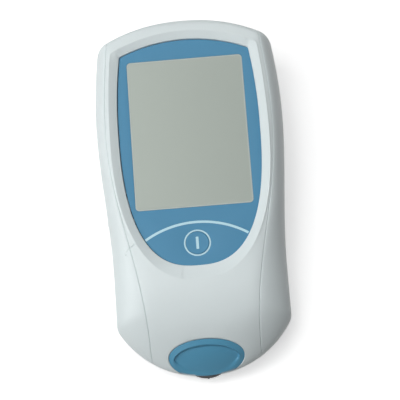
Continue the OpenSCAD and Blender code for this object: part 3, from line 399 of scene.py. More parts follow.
def shell(name, pts, finish, wrap_rows=True, wrap_cols=True, **k):
    """A piece from one grid of points (columns, rows, xyz)."""
    faces = grid_faces(*pts.shape[:2], wrap_rows, wrap_cols)
    return solid(name, pts.reshape(-1, 3), [faces], finish, **k)


def bend(a, corner, b, k):
    """k points on the parabola from a to b whose tangents meet at corner."""
    s = np.linspace(0, 1, k)[None, :, None]
    return (1 - s) ** 2 * a[:, None] + 2 * s * (1 - s) * corner[:, None] + s ** 2 * b[:, None]


def carve(obj, shape, operation="DIFFERENCE"):
    """Cuts a closed shape out of obj, or joins it, and keeps the result as a plain mesh."""
    tool = solid("tool", *shape, obj.data.materials[0], body=None)
    mod = obj.modifiers.new("carve", "BOOLEAN")
    mod.solver, mod.operation, mod.object = "MANIFOLD", operation, tool
    graph = bpy.context.evaluated_depsgraph_get()
    mesh = bpy.data.meshes.new_from_object(obj.evaluated_get(graph))
    obj.modifiers.remove(mod)
    old, obj.data = obj.data, mesh
    name = old.name
    bpy.data.meshes.remove(old)
    mesh.name = name
    bpy.data.objects.remove(tool)
    smooth(obj)


def loop_offset(loop, d):
    """A closed plan outline moved d along its normals, outwards where it is counter-clockwise."""
    t = np.roll(loop, -1, 0) - np.roll(loop, 1, 0)
    n = np.stack([t[:, 1], -t[:, 0]], 1)
    return loop + d * n / np.linalg.norm(n, axis=1, keepdims=True)


def fill(loops):
    """Triangles between plan outlines. Holes are found by counting crossings at each middle."""
    pts = np.concatenate(loops)
    edges, start = [], 0
    for loop in loops:
        i = np.arange(len(loop))
        edges += np.stack([start + i, start + (i + 1) % len(loop)], 1).tolist()
        start += len(loop)
    points = [Vector(p) for p in pts.tolist()]
    out, _, tris, back, _, _ = delaunay_2d_cdt(points, edges, [], 0, 1e-9)
    source = np.array([b[0] if b else 0 for b in back])
    tris = np.array(tris)
    mid = np.array([v[:] for v in out])[tris].mean(1)
    inside = np.zeros(len(tris), bool)
    for a in loops:
        b = np.roll(a, -1, 0)
        y0, y1 = a[:, 1], b[:, 1]
        over = (y0[None] > mid[:, 1:]) != (y1[None] > mid[:, 1:])
        rise = np.where(y1 == y0, 1e-12, y1 - y0)
        x = a[:, 0] + (mid[:, 1:] - y0) / rise * (b[:, 0] - a[:, 0])
        inside ^= (np.sum(over & (mid[:, :1] < x), 1) % 2).astype(bool)
    return source[tris[inside]]


def together(shapes):
    """Several closed shapes as one set of points and faces."""
    points, faces, start = [], [], 0
    for p, groups in shapes:
        points.append(p)
        faces += [g + start for g in groups]
        start += len(p)
    return np.concatenate(points), faces


def flat_at(x0, y0, z0):
    """Placing on a level plane whose middle is (x0, y0, z0)."""
    return lambda x, y, h: np.stack([x + x0, y + y0, h + z0], -1)


def hung_at(x0, y0, z0):
    """Placing under a level plane, heights counted downwards, not turned inside out."""
    return lambda x, y, h: np.stack([x + x0, y0 - y, z0 - h], -1)


def on_display(x0=0.0, v0=0.0, h0=0.0):
    """Placing on the display frame."""
    return lambda x, y, h: display_xyz(x + x0, y + v0, h + h0)


def along_display(x0, h0):
    """Placing with heights along the display's up direction, on the axis (x0, h0)."""
    return lambda x, y, h: display_xyz(x + x0, h, y + h0)


def through_end(x0, z0):
    """Placing with heights along +Y, on the axis (x0, z0)."""
    return lambda x, y, h: np.stack([x + x0, h, y + z0], -1)


HERE, DISPLAY, KEY = flat_at(0, 0, 0), on_display(), on_display(0, -BUTTON_DROP, 0)


def lifted(loop, h):
    """Plan points at height h, one for all or one each."""
    return np.c_[loop, np.broadcast_to(h, len(loop))]


def plate_shape(loops, low, high, edge, place=HERE, steps=4, low_edge=None):
    """A plate between two heights: a quarter circle carried along every outline at both edges.

    loops run counter-clockwise for the rim and clockwise for holes.
    """
    low_edge = edge if low_edge is None else low_edge
    a = np.linspace(0, np.pi / 2, steps + 1)
    profile = [(-low_edge * (1 - np.sin(t)), low + low_edge * (1 - np.cos(t))) for t in a]
    profile += [(-edge * (1 - np.cos(t)), high - edge * (1 - np.sin(t))) for t in a]
    points, faces, ends, start = [], [], ([], []), 0
    for loop in loops:
        rings = [lifted(loop_offset(loop, d), h) for d, h in profile]
        points += rings
        faces.append(grid_faces(len(rings), len(loop), wrap_cols=True, first=start))
        ends[0].append((start, rings[0][:, :2]))
        start += len(rings) * len(loop)
        ends[1].append((start - len(loop), rings[-1][:, :2]))
    for end in ends:
        index = np.concatenate([first + np.arange(len(p)) for first, p in end])
        faces.append(index[fill([p for _, p in end])])
    return place(*np.concatenate(points).T), faces


def plate(name, loops, low, high, edge, place, finish, steps=4, low_edge=None, **k):
    """A piece of one plate."""
    return solid(name, *plate_shape(loops, low, high, edge, place, steps, low_edge), finish, **k)


def turned_shape(profile, place, n, ring):
    """A profile of (radius, height) points carried round a circle, itself closed for a ring."""
    a = np.linspace(0, 2 * np.pi, n, endpoint=False)[:, None]
    r, h = np.asarray(profile, float).T
    p = np.stack([r * np.cos(a), r * np.sin(a), h + 0 * a], -1).reshape(-1, 3)
    return place(*p.T), [grid_faces(n, len(r), wrap_rows=True, wrap_cols=ring)]


def turned(name, profile, places, finish, n, ring=False, **k):
    """A piece of one profile turned at every place."""
    shapes = [turned_shape(profile, place, n, ring) for place in places]
    return solid(name, *together(shapes), finish, **k)


def pile(rings, tri):
    """Closed shape from rings of points, with the triangles tri over its two ends."""
    n = len(rings[0])
    walls = grid_faces(len(rings), n, wrap_cols=True)
    return np.concatenate(rings), [walls, tri, tri + n * (len(rings) - 1)]


def stack(loop, levels, place=HERE):
    """Closed shape from one outline at several (offset, height) levels."""
    points, faces = pile([lifted(loop_offset(loop, d), h) for d, h in levels], fill([loop]))
    return place(*points.T), faces


def circle(r, n, x=0.0, y=0.0):
    """Counter-clockwise circle about (x, y)."""
    return arc([x, y], r, np.linspace(0, 2 * np.pi, n, endpoint=False))


def rounded_rect(w, h, r, n):
    """Counter-clockwise rectangle with quarter-circle corners of radius r and n points."""
    t = np.linspace(0, np.pi / 2, n)
    corners = [(1, 1), (-1, 1), (-1, -1), (1, -1)]
    return np.concatenate([arc([sx * (w / 2 - r), sy * (h / 2 - r)], r, t + i * np.pi / 2)
                           for i, (sx, sy) in enumerate(corners)])


def box_loop(w, h, x=0.0, y=0.0, r=0.4):
    """Counter-clockwise rounded rectangle about (x, y)."""
    return rounded_rect(w, h, r, 5) + [x, y]


# ---------------------------------------------------------------- finishes

def put(tree, value, socket):
    """Links a node's output to the socket, or sets the socket to a plain value."""
    if hasattr(value, "is_output"):
        tree.links.new(value, socket)
    else:
        socket.default_value = value


def math_node(tree, op, a, b, clamp=False):
    """A Math node with its inputs linked or set."""
    n = tree.nodes.new("ShaderNodeMath")
    n.operation, n.use_clamp = op, clamp
    put(tree, a, n.inputs[0])
    put(tree, b, n.inputs[1])
    return n.outputs[0]


def noise(tree, vector, scale, detail=2.0):
    """A noise texture on the given coordinates."""
    n = tree.nodes.new("ShaderNodeTexNoise")
    for key, value in (("Vector", vector), ("Scale", scale), ("Detail", detail)):
        put(tree, value, n.inputs[key])
    return n.outputs["Fac"]


def tint(tree, color, factor):
    """color times a grey factor."""
    n = tree.nodes.new("ShaderNodeMix")
    n.data_type, n.blend_type = "RGBA", "MULTIPLY"
    n.inputs["Factor"].default_value = 1.0
    tree.links.new(color, n.inputs["A"])
    c = tree.nodes.new("ShaderNodeCombineColor")
    for i in range(3):
        tree.links.new(factor, c.inputs[i])
    tree.links.new(c.outputs[0], n.inputs["B"])
    return n.outputs["Result"]


def moulded_group():
    """Moulded plastic: fine grain, slow tone changes and a roughness that follows both."""
    g = bpy.data.node_groups.new("Moulded surface", "ShaderNodeTree")
    for label, kind, value in (("Vector", "Vector", None), ("Color", "Color", (1, 1, 1, 1)),
                               ("Tone", "Float", 0.02), ("Grain Scale", "Float", 5000.0),
                               ("Roughness", "Float", 0.4), ("Rough Change", "Float", 0.05)):
        s = g.interface.new_socket(name=label, in_out="INPUT", socket_type="NodeSocket" + kind)
        if value is not None:
            s.default_value = value
    for label, kind in (("Color", "Color"), ("Roughness", "Float"), ("Height", "Float")):
        g.interface.new_socket(name=label, in_out="OUTPUT", socket_type="NodeSocket" + kind)
    i, o = g.nodes.new("NodeGroupInput").outputs, g.nodes.new("NodeGroupOutput").inputs
    slow = noise(g, i["Vector"], 60.0, 3.0)
    fine = noise(g, i["Vector"], i["Grain Scale"])
    centred = math_node(g, "SUBTRACT", slow, 0.5)
    speck = math_node(g, "SUBTRACT", fine, 0.5)
    both = math_node(g, "ADD", math_node(g, "MULTIPLY", centred, 2.0), speck)
    factor = math_node(g, "ADD", math_node(g, "MULTIPLY", both, i["Tone"]), 1.0)
    g.links.new(tint(g, i["Color"], factor), o["Color"])
    change = math_node(g, "MULTIPLY", both, i["Rough Change"])
    g.links.new(math_node(g, "ADD", change, i["Roughness"]), o["Roughness"])
    g.links.new(fine, o["Height"])
    return g


MOULDED = moulded_group()
SLOT_OF, CAD_FINISH = {}, {}


def moulded(name, slot, srgb, rough=0.4, tone=0.02, grain=5000.0, depth=0.006, **sockets):
    """A finish from the moulded group, with a bump of the grain, for one material slot.

    srgb is its 8-bit display colour. The first finish of a slot is the CAD nodes' too.
    """
    m = bpy.data.materials.new(name)
    SLOT_OF[m.name] = slot
    CAD_FINISH.setdefault(slot, m)
    m.use_nodes = True
    t = m.node_tree
    shader = t.nodes["Principled BSDF"].inputs
    where = t.nodes.new("ShaderNodeTexCoord").outputs["Object"]
    g = t.nodes.new("ShaderNodeGroup")
    g.node_tree = MOULDED
    c = np.array(srgb) / 255
    linear = np.where(c <= 0.04045, c / 12.92, ((c + 0.055) / 1.055) ** 2.4)
    for key, value in (("Vector", where), ("Color", (*linear.tolist(), 1.0)), ("Tone", tone),
                       ("Grain Scale", grain), ("Roughness", rough)):
        put(t, value, g.inputs[key])
    bump = t.nodes.new("ShaderNodeBump")
    bump.inputs["Distance"].default_value = depth * MM
    t.links.new(g.outputs["Height"], bump.inputs["Height"])
    t.links.new(g.outputs["Color"], shader["Base Color"])
    t.links.new(g.outputs["Roughness"], shader["Roughness"])
    t.links.new(bump.outputs["Normal"], shader["Normal"])
    for key, value in sockets.items():
        shader[key.replace("_", " ")].default_value = value
    return m


CASE = moulded("case_plastic", "housing", (226, 236, 237), 0.42, 0.012, depth=0.004)
BLUE = moulded("blue_panel_film", "blue_panel", (84, 146, 182), 0.5, 0.015, depth=0.003,
               Specular_IOR_Level=0.25)
LID = moulded("blue_cover_plastic", "blue_cover", (76, 150, 184), 0.32, depth=0.003,
              Specular_IOR_Level=0.5)
PRINT = moulded("pale_blue_print", "blue_panel", (192, 230, 242), 0.45, depth=0.002)
GLASS = moulded("touch_glass", "display_glass", (182, 191, 183), 0.5, 0.012, depth=0.001,
                Specular_IOR_Level=0.25)
BORDER = moulded("glass_border", "display_glass", (188, 198, 192), 0.3, 0.01, depth=0.001)
BLACK = moulded("black_plastic", "black_plastic", (38, 38, 41), tone=0.1)
WINDOW = moulded("dark_red_window", "dark_red_window", (58, 16, 22), 0.15, 0.05, depth=0.001)
GOLD = moulded("gold_plate", "gold_contact", (222, 184, 96), 0.25, 0.08, depth=0.003,
               Metallic=1.0)
CHIP = moulded("pale_grey_plastic", "chip_plastic", (212, 216, 217), 0.45)
RUBBER = moulded("grey_rubber", "grey_rubber", (86, 88, 92), 0.75, 0.1, 3000, 0.02)
SLEEVE = moulded("battery_sleeve", "battery_sleeve", (44, 96, 74), 0.28, 0.08, depth=0.002,
                 Coat_Weight=0.3)
BAND = moulded("battery_band", "battery_sleeve", (206, 200, 184), 0.3, 0.06, depth=0.002,
               Coat_Weight=0.3)
NICKEL = moulded("nickel_sheet", "spring_steel", (200, 196, 186), 0.3, 0.08, depth=0.003,
                 Metallic=1.0)
STEEL = moulded("zinc_plated_steel", "screw_steel", (168, 168, 170), 0.34, 0.1, depth=0.004,
                Metallic=1.0)
moulded("black_foam", "black_foam", (34, 34, 34), 0.85, 0.25, 2500, 0.05)
moulded("lcd_cell_glass", "lcd_glass", (160, 168, 158), 0.2)
moulded("light_guide_acrylic", "light_guide", (225, 232, 236), 0.2)
moulded("white_frame_plastic", "white_frame", (220, 220, 214), 0.5)
moulded("amber_flex", "flex", (190, 130, 60), 0.3, 0.06)
moulded("ivory_connector_plastic", "ivory_connector", (226, 218, 196), 0.5)
moulded("green_board", "board", (40, 104, 70), 0.35, 0.12, 900, 0.01)
moulded("white_ceramic", "ceramic", (236, 234, 226), 0.55)

for part in frame["record"]["subparts"]:
    mesh = nodes[part["node"]].data
    mesh.materials.clear()
    mesh.materials.append(CAD_FINISH[part["material_slot"]])


# ---------------------------------------------------------------- camera, floor and light

# Focal length and width of the photograph in pixels, and the display's height that they fit
FOCAL, PHOTO_W, FITTED_Z, SENSOR = 1604.75, 400, 37.08, 36
CAMERA_TURNS = [("Z", 4.31), ("X", -15), ("Y", -1.379), ("X", -4)]
CAMERA_AT = (21.59, -269.8, 796.03 + DISPLAY_Z - FITTED_Z)
# World strength off camera, the floor's colour for the camera and for light, and its glow
WORLD, FLOOR_SEEN, FLOOR_BOUNCE, FLOOR_GLOW = 0.118, 0.95, 0.2, 0.47
FLOOR_HALF, LAMP_AIM = 3.0, (0, 0, 0.02)
# Name, place and side in metres, and watts
LAMPS = [("left_mid", (-0.55, -0.06, 0.32), 0.3, 1.25),
         ("left_top", (-0.45, 0.15, 1.2), 0.6, 3.9),
         ("overhead", (0, 0, 1.3), 0.9, 2.9),
         ("back", (0, 0.95, 0.9), 0.7, 2.6),
         ("front_left", (-0.6, -0.8, 0.9), 0.6, 1.2),
         ("front_low", (-0.9, -0.65, 0.35), 0.4, 0.6)]


def add_object(name, data):
    """A new object of the scene."""
    obj = bpy.data.objects.new(name, data)
    bpy.context.scene.collection.objects.link(obj)
    return obj


def camera():
    """The photograph's camera: its axes are the rows of the turns' product, its lens is long."""
    rows = Matrix.Identity(3)
    for axis, degrees in CAMERA_TURNS:
        rows = rows @ Matrix.Rotation(math.radians(degrees), 3, axis)
    cam = bpy.data.cameras.new("photo_camera")
    cam.sensor_width = SENSOR
    cam.lens = FOCAL / PHOTO_W * SENSOR
    cam.clip_start, cam.clip_end = 0.05, 20
    obj = add_object("photo_camera", cam)
    place = Matrix.Translation(Vector(CAMERA_AT) * MM)
    obj.matrix_world = place @ rows.transposed().to_4x4()
    bpy.context.scene.camera = obj


def seen_white(tree):
    """1 for camera, glossy and transmission rays."""
    path = tree.nodes.new("ShaderNodeLightPath").outputs
    s = math_node(tree, "ADD", path["Is Camera Ray"], path["Is Glossy Ray"], True)
    return math_node(tree, "ADD", s, path["Is Transmission Ray"], True)


def either(tree, seen, shown, other):
    """shown for the rays that seen is 1 for, and other for the rest."""
    return math_node(tree, "ADD", math_node(tree, "MULTIPLY", seen, shown - other), other)


def studio():
    """Plain floor, a world that shows white but lights softly, and soft square lamps."""
    world = bpy.data.worlds.new("studio")
    bpy.context.scene.world = world
    world.use_nodes = True
    t = world.node_tree
    back = t.nodes["Background"].inputs
    back["Color"].default_value = (1, 1, 1, 1)
    t.links.new(either(t, seen_white(t), 1, WORLD), back["Strength"])
    floor = bpy.data.materials.new("studio_floor")
    floor.use_nodes = True
    t = floor.node_tree
    shader = t.nodes["Principled BSDF"].inputs
    seen = seen_white(t)
    t.links.new(either(t, seen, FLOOR_SEEN, FLOOR_BOUNCE), shader["Base Color"])
    shader["Roughness"].default_value = 0.9
    shader["Emission Color"].default_value = (1, 1, 1, 1)
    t.links.new(math_node(t, "MULTIPLY", seen, FLOOR_GLOW), shader["Emission Strength"])
    mesh = bpy.data.meshes.new("floor")
    s = FLOOR_HALF
    mesh.from_pydata([(-s, -s, 0), (s, -s, 0), (s, s, 0), (-s, s, 0)], [], [(0, 1, 2, 3)])
    mesh.materials.append(floor)
    add_object("floor", mesh)
    for name, place, size, power in LAMPS:
        lamp = bpy.data.lights.new(name, "AREA")
        lamp.shape, lamp.size, lamp.energy = "SQUARE", size, power
        obj = add_object(name, lamp)
        obj.location = place
        toward = (Vector(place) - Vector(LAMP_AIM)).to_track_quat("Z", "Y")
        obj.rotation_euler = toward.to_euler()


view = bpy.context.scene.view_settings
view.view_transform = "Standard"
camera()
studio()


# ---------------------------------------------------------------- covers

def seam_test(gap):
    """Test that is positive inside the top cover's space, drawn in by gap."""
    def test(p):
        return np.minimum(seam_x(p[..., 1]) - gap - np.abs(p[..., 0]),
                          p[..., 2] - split_z(p[..., 1]) - gap)
    return test


def ridge_test(p):
    """Positive inside the ridge, seen along the display's normal."""
    v = (p[..., 1] - LCD_Y) * COS_T + (p[..., 2] - DISPLAY_Z) * SIN_T
    return window_test(p[..., 0], v, SKIN_ROUND, RIDGE)


W_RIDGE = COLS.solve(ridge_test, 0.0, 2.0)
W_TOP = COLS.solve(seam_test(SEAM_HALF_GAP), -1.0, W_RIDGE)
W_BOTTOM = COLS.solve(seam_test(-SEAM_HALF_GAP), -1.0, W_RIDGE)


def leave_window(start, h, round_top, window):
    """Plan points where the rays from CENTRE through start leave a display window at height h.

    The rays' directions are given too.
    """
    ray = start - CENTRE
    ray = ray / np.linalg.norm(ray, axis=1, keepdims=True)

    def inside(r):
        p = CENTRE + ray * r
        v = (p[:, 1] - LCD_Y + h * SIN_T) / COS_T
        return (window_test(p[:, 0], v, round_top, window) > 0)[:, None]
    r, _ = halve(inside, np.zeros((len(ray), 1)), np.full((len(ray), 1), REACH))
    return CENTRE + ray * r, ray


def on_skin(xy):
    """Points of the upper skin over plan points."""
    return np.concatenate([xy, skin_z(xy[..., 0], xy[..., 1])[..., None]], -1)


def top_cover():
    """Closed ring per column.

    Seam edge and rolled wall run along the section. Then the top runs along a ray to the rounded
    ridge, the bezel slope, the rounded edge of the panel's opening, and back along the inside.
    """
    room = W_RIDGE - W_TOP
    wa = COLS.step(W_TOP, SEAM_EDGE)
    wb = W_TOP + room * np.clip((ROLL_WAY - W_TOP) / room, ROLL_LEAST, ROLL_MOST)
    w = wa + (wb - wa) * np.linspace(0, 1, 20)[None, :]
    wall, n = COLS.at(w), COLS.normals(w)
    edge, edge_n = COLS.at(W_TOP)[:, 0], COLS.normals(W_TOP)[:, 0]
    start = wall[:, -1, :2]
    ridge_xy, ray = leave_window(start, BEZEL_RISE, RIDGE_ROUND, RIDGE)
    lift, up = np.array([0, 0, RIDGE_LIFT]), np.array([0, 0, 1])
    ridge = on_skin(ridge_xy) + lift
    shoulder = ridge_xy + ray * RIDGE_EDGE
    t = np.linspace(0, 1, 13)[None, 1:, None]
    top = on_skin(start[:, None] * (1 - t) + shoulder[:, None] * t) + lift * t ** 3
    foot_xy, _ = leave_window(start, FOOT_RISE, PANEL_ROUND, grown(PANEL, PANEL_GAP))
    foot_z = DISPLAY_Z + (foot_xy[:, 1] - LCD_Y) * TAN_T + FOOT_RISE / COS_T
    foot = lifted(foot_xy, foot_z)
    slope = foot - ridge
    run = np.linalg.norm(slope, axis=1)[:, None]
    down, near = ridge + slope * (RIDGE_EDGE / run), foot - slope * (FOOT_EDGE / run)
    k = np.linspace(0, 1, 5)[None, 1:-1, None]
    back = [18, 14, 10, 6, 3, 1]
    rows = [(edge - edge_n * SEAM_LIP)[:, None],
            bend(edge - edge_n * SEAM_EDGE, edge, wall[:, 0], 5), wall[:, 1:], top[:, :-1],
            bend(top[:, -1], ridge, down, 6), down[:, None] * (1 - k) + near[:, None] * k,
            bend(near, foot, foot - up * FOOT_EDGE, 6), (foot - up * OPENING_D)[:, None],
            (ridge - up * UNDER_D)[:, None], top[:, [10, 7, 4, 1]] - up * WALL,
            wall[:, back] - n[:, back] * SEAM_LIP]
    return shell("top_cover_shell", np.concatenate(rows, 1), CASE, instead="top_cover")


def bottom_cover():
    """Closed bowl: back, tucked and rolled wall up to the seam, its edge, and the inside."""
    wa = COLS.step(W_BOTTOM, -SEAM_LOW_EDGE)
    w = -1 + (wa + 1) * np.linspace(0, 1, 34)[None, :]
    wall, n = COLS.at(w), COLS.normals(np.clip(w, -0.985, 2))
    edge, edge_n = COLS.at(W_BOTTOM)[:, 0], COLS.normals(W_BOTTOM)[:, 0]
    g = np.array([1, 0.8, 0.6, 0.4, 0.2, 0.08])[None, :, None]
    rim = wall[:, :1, :2]
    plan = rim + (COLS.spine[:, None] - rim) * g
    back, floor = [np.insert(plan, 2, z, axis=-1) for z in (FOOT_H, FOOT_H + WALL)]
    k = [32, 26, 20, 15, 10, 6]
    inner = wall[:, k] - n[:, k] * SEAM_LIP
    inner[..., 2] = np.maximum(inner[..., 2], FOOT_H + WALL)
    rows = [back, wall[:, :-1], bend(wall[:, -1], edge, edge - edge_n * SEAM_LOW_EDGE, 5),
            (edge - edge_n * SEAM_LIP)[:, None], inner, floor[:, ::-1]]
    return shell("bottom_cover_shell", np.concatenate(rows, 1), CASE, wrap_cols=False,
                 instead="bottom_cover")


TOP, BOTTOM = top_cover(), bottom_cover()

COVER_Y = -NOSE_Y + COVER_INSET
COVER_LOW = split_z(-NOSE_Y) - FIT
GUIDE_Y = -NOSE_Y + GUIDE_INSET


def egg(a, front, back, y):
    """Counter-clockwise outline of two half ellipses that meet on their widest line at y."""
    t = np.linspace(0, 2 * np.pi, 240, endpoint=False)
    return np.stack([a * np.cos(t), y + np.where(t < np.pi, back, front) * np.sin(t)], 1)


def flared(loop, low, r):
    """Cutter for an opening in the upper skin, upright on the outline.

    It widens by a quarter circle of radius r at the skin, which leaves a rounded edge.
    """
    rings = [lifted(loop, low)]
    for t in np.linspace(0, np.pi / 2, 7):
        ring = loop_offset(loop, r * (1 - np.cos(t)))
        rings.append(lifted(ring, skin_z(ring[:, 0], ring[:, 1]) - r + r * np.sin(t)))
    return pile(rings + [lifted(ring, ABOVE)], fill([loop]))


STRIP_OPENING = egg(COVER_HW, COVER_FRONT, COVER_BACK, COVER_Y)
carve(TOP, flared(STRIP_OPENING, OPENING_LOW, OPENING_EDGE))
carve(BOTTOM, stack(STRIP_OPENING, [(0, COVER_LOW), (0, ABOVE)]))


# ---------------------------------------------------------------- openings of the covers

def back_hole(loop, depth, bevel=0.3):
    """Opening in the back: upright from depth down, flared at 45 degrees at the surface."""
    carve(BOTTOM, stack(loop, [(bevel + 1, FOOT_H - 1), (0, FOOT_H + bevel), (0, depth)]))


def pillar(loop, top):
    """Upright block joined to the floor of the bottom cover."""
    carve(BOTTOM, stack(loop, [(0, ROOT_Z), (0, top)]), "UNION")


def groove(a, b):
    """Closed V-shaped strip that follows the skin from a to b and runs out at both ends."""
    a, b = np.array(a), np.array(b)
    t = np.linspace(0, 1, LINE_N)[:, None]
    mid = a + (b - a) * t
    side = np.array([-(b - a)[1], (b - a)[0]]) / np.linalg.norm(b - a)
    deep = LINE_DEPTH * np.clip(np.minimum(t, 1 - t) * 10, 0.05, 1) ** 0.5
    wide = LINE_HALF * (deep + 1) / LINE_DEPTH
    skin = skin_z(mid[:, 0], mid[:, 1])[:, None]
    rings = np.stack([np.c_[mid, skin - deep], np.c_[mid + side * wide, skin + 1],
                      np.c_[mid - side * wide, skin + 1]], 1)
    return pile(rings, np.array([[0, 1, 2]]))


def open_bottom():
    """Battery well, screw posts and reset guide joined to the bottom cover, then its openings."""
    walls, lap = 2 * WELL_WALL, 2 * (DOOR_LAP + DOOR_GAP)
    pillar(box_loop(WELL_W + walls, WELL_L + walls, 0, CELL_Y), WELL_TOP + WELL_WALL)
    for x, y in POSTS:
        pillar(circle(POST_R, 40, x, y), split_z(y) - FIT)
    pillar(circle(RESET_R + RESET_WALL, 40, 0, RESET_Y), RESET_WALL_TOP)
    carve(BOTTOM, stack(box_loop(WELL_W, WELL_L, 0, CELL_Y), [(0, 0.0), (0, WELL_TOP)]))
    door = box_loop(WELL_W + lap, WELL_L + lap, 0, CELL_Y, 1.8)
    back_hole(door, FOOT_H + DOOR_T + FIT, 0.25)
    for x, y in FEET:
        back_hole(circle(FOOT_R + FIT, 48, x, y), FOOT_H + FOOT_SET, 0.2)
    for x, y in POSTS:
        back_hole(circle(SCREW_HOLE_R, 40, x, y), split_z(y) - SCREW_STEP, 0.4)
    for x, y in TERMINALS:
        back_hole(circle(TERMINAL_HOLE_R, 36, x, y), TERMINAL_DEPTH, 0.35)
    back_hole(circle(RESET_R + 0.15, 40, 0, RESET_Y), 20.0, 0.5)
    for i in (-1, 0, 1):
        back_hole(circle(SOUND_R, 20, SOUND_X + SOUND_STEP * i, SOUND_Y), 4.0, 0.2)
    mouth = box_loop(2 * (TONGUE_HW + TONGUE_ROOM), MOUTH_L, 0, GUIDE_Y - MOUTH_L / 2, 0.5)
    carve(BOTTOM, stack(mouth, [(0, STRIP_Z - TONGUE_HALF_H - FIT), (0, MOUTH_TOP)]))
    slot = rounded_rect(CHIP_W + ROOM, CHIP_T + ROOM, 0.5, 5)
    carve(BOTTOM, stack(slot, [(0, -60.0), (0, -40.4)],
                        lambda x, y, h: display_xyz(h, x + CHIP_V, y + CHIP_H)))
    scoop = circle(SCOOP_R, 120, -side_x(SCOOP_Y) - SCOOP_R + SCOOP_D, CHIP_H)
    half = CHIP_W / 2 + SCOOP_PAST
    carve(BOTTOM, stack(scoop, [(SCOOP_FLARE, CHIP_V - half - 1), (0, CHIP_V - half),
                                (0, CHIP_V + half), (SCOOP_FLARE, CHIP_V + half + 1)],
                        lambda x, y, h: display_xyz(x, h, y)))


def open_top():
    """Holes of the end wall in the top cover: a flared one for the plug and the window's."""
    flare = [(0, 50.0), (0, 55.9), (0.25, 56.5), (1.6, 57.7), (1.6, 70.0)]
    carve(TOP, stack(circle(JACK_R + ROOM, 48), flare, along_display(JACK_X, JACK_H)))
    window = box_loop(2 * IR_HW + ROOM, IR_H + ROOM, r=1.0)
    carve(TOP, stack(window, [(0, 80.0), (0, 100.0)], through_end(0, IR_Z)))


open_bottom()
open_top()
for cover in (TOP, BOTTOM):
    carve(cover, groove(LINE_FROM, LINE_TO))
carve(BOTTOM, stack(circle(DIMPLE_R, 24, DIMPLE_X, DIMPLE_Y), DIMPLE_LEVELS))


# ---------------------------------------------------------------- display

def hole(loop):
    """A hole's outline: the same points, clockwise."""
    return loop[::-1]


def display():
    """Panel film with its two openings, the touch glass, and the glass's paler border."""
    film = window_loop(520, PANEL_ROUND, grown(PANEL, -PANEL_IN)) + [PANEL_SHIFT, -PANEL_SHIFT]
    plate("display_panel_film", [film, hole(rounded_rect(LCD_W, LCD_H, LCD_R, 14)),
                                 hole(circle(BUTTON_R + FIT, 72, 0, -BUTTON_DROP))],
          -PANEL_T, 0.0, FILM_EDGE, DISPLAY, BLUE, instead="display_panel")
    inset = 2 * BORDER_W + FIT
    pane = rounded_rect(LCD_W - inset, LCD_H - inset, LCD_R - BORDER_W, 14)
    low = -PANEL_T - PANE_SEAT
    plate("touch_screen_glass", [pane], low, -PANE_DROP, PANE_EDGE, DISPLAY, GLASS,
          instead="touch_screen")
    border = rounded_rect(LCD_W - FIT, LCD_H - FIT, LCD_R, 14)
    plate("touch_screen_border", [border, hole(pane)], low, -BORDER_DROP, BORDER_EDGE, DISPLAY,
          BORDER)


def power_button():
    """Turned key: slightly hollow face, rounded edge, skirt and stem."""
    flat, skirt = BUTTON_R - BUTTON_EDGE, BUTTON_R + SKIRT_W
    face = [(r, BUTTON_PROUD - BUTTON_HOLLOW * (1 - (r / flat) ** 2))
            for r in np.linspace(0, flat, 14)]
    edge = [(flat + BUTTON_EDGE * math.sin(a), BUTTON_PROUD - 0.35 * (1 - math.cos(a)))
            for a in np.linspace(0, np.pi / 2, 8)[1:]]
    rest = [(BUTTON_R, SKIRT_TOP), (skirt, SKIRT_TOP), (skirt, SKIRT_LOW), (STEM_R, SKIRT_LOW),
            (STEM_R, STEM_LOW), (0, STEM_LOW)]
    turned("power_button_key", face + edge + rest, [KEY], BLUE, 96, body="power_key",
           instead="power_button")


def band(points, width):
    """Outline of a line of that width along a row of points, its ends cut square."""
    t = np.gradient(points, axis=0)
    n = np.stack([-t[:, 1], t[:, 0]], 1) / np.linalg.norm(t, axis=1, keepdims=True) * width / 2
    return np.concatenate([points - n, (points + n)[::-1]])


def panel_print():
    """Printed arc from edge to edge of the panel, ring round the key and bar on it."""
    p = arc([0, ARC_TOP - ARC_R], ARC_R, np.radians(np.linspace(132, 48, 400)))
    p = p[window_test(p[:, 0], p[:, 1], 1.0, PANEL) > PANEL_IN + ARC_INSET]
    ring = [circle(RING_R, 96, 0, -BUTTON_DROP),
            hole(circle(BUTTON_R + RING_GAP, 96, 0, -BUTTON_DROP))]
    for name, loops in (("panel_arc_print", [band(p, ARC_W)]), ("panel_ring_print", ring)):
        plate(name, loops, PRINT_LOW, PRINT_TOP, 0.0, DISPLAY, PRINT, steps=1)
    plate("power_bar_print", [rounded_rect(BAR_W, BAR_L, 0.25, 6)], BAR_LOW,
          BUTTON_PROUD - 0.1, 0.0, KEY, PRINT, steps=1, body="power_key")


display()
power_button()
panel_print()


# ---------------------------------------------------------------- strip module

def ray_to_ellipse(oy, a, b, cy, dx, dy):
    """Way along (dx, dy) from (0, oy) inside an ellipse to its rim: the quadratic's root."""
    y = oy - cy
    qa = (dx / a) ** 2 + (dy / b) ** 2
    qb = 2 * (y * dy / b ** 2)
    qc = (y / b) ** 2 - 1
    return (-qb + np.sqrt(qb * qb - 4 * qa * qc)) / (2 * qa)


def ray_to_egg(oy, a, front, back, cy, dx, dy):
    """The same to an egg outline: its front half's rim where the ray ends ahead of cy."""
    near = ray_to_ellipse(oy, a, front, cy, dx, dy)
    return np.where(oy + near * dy < cy, near, ray_to_ellipse(oy, a, back, cy, dx, dy))


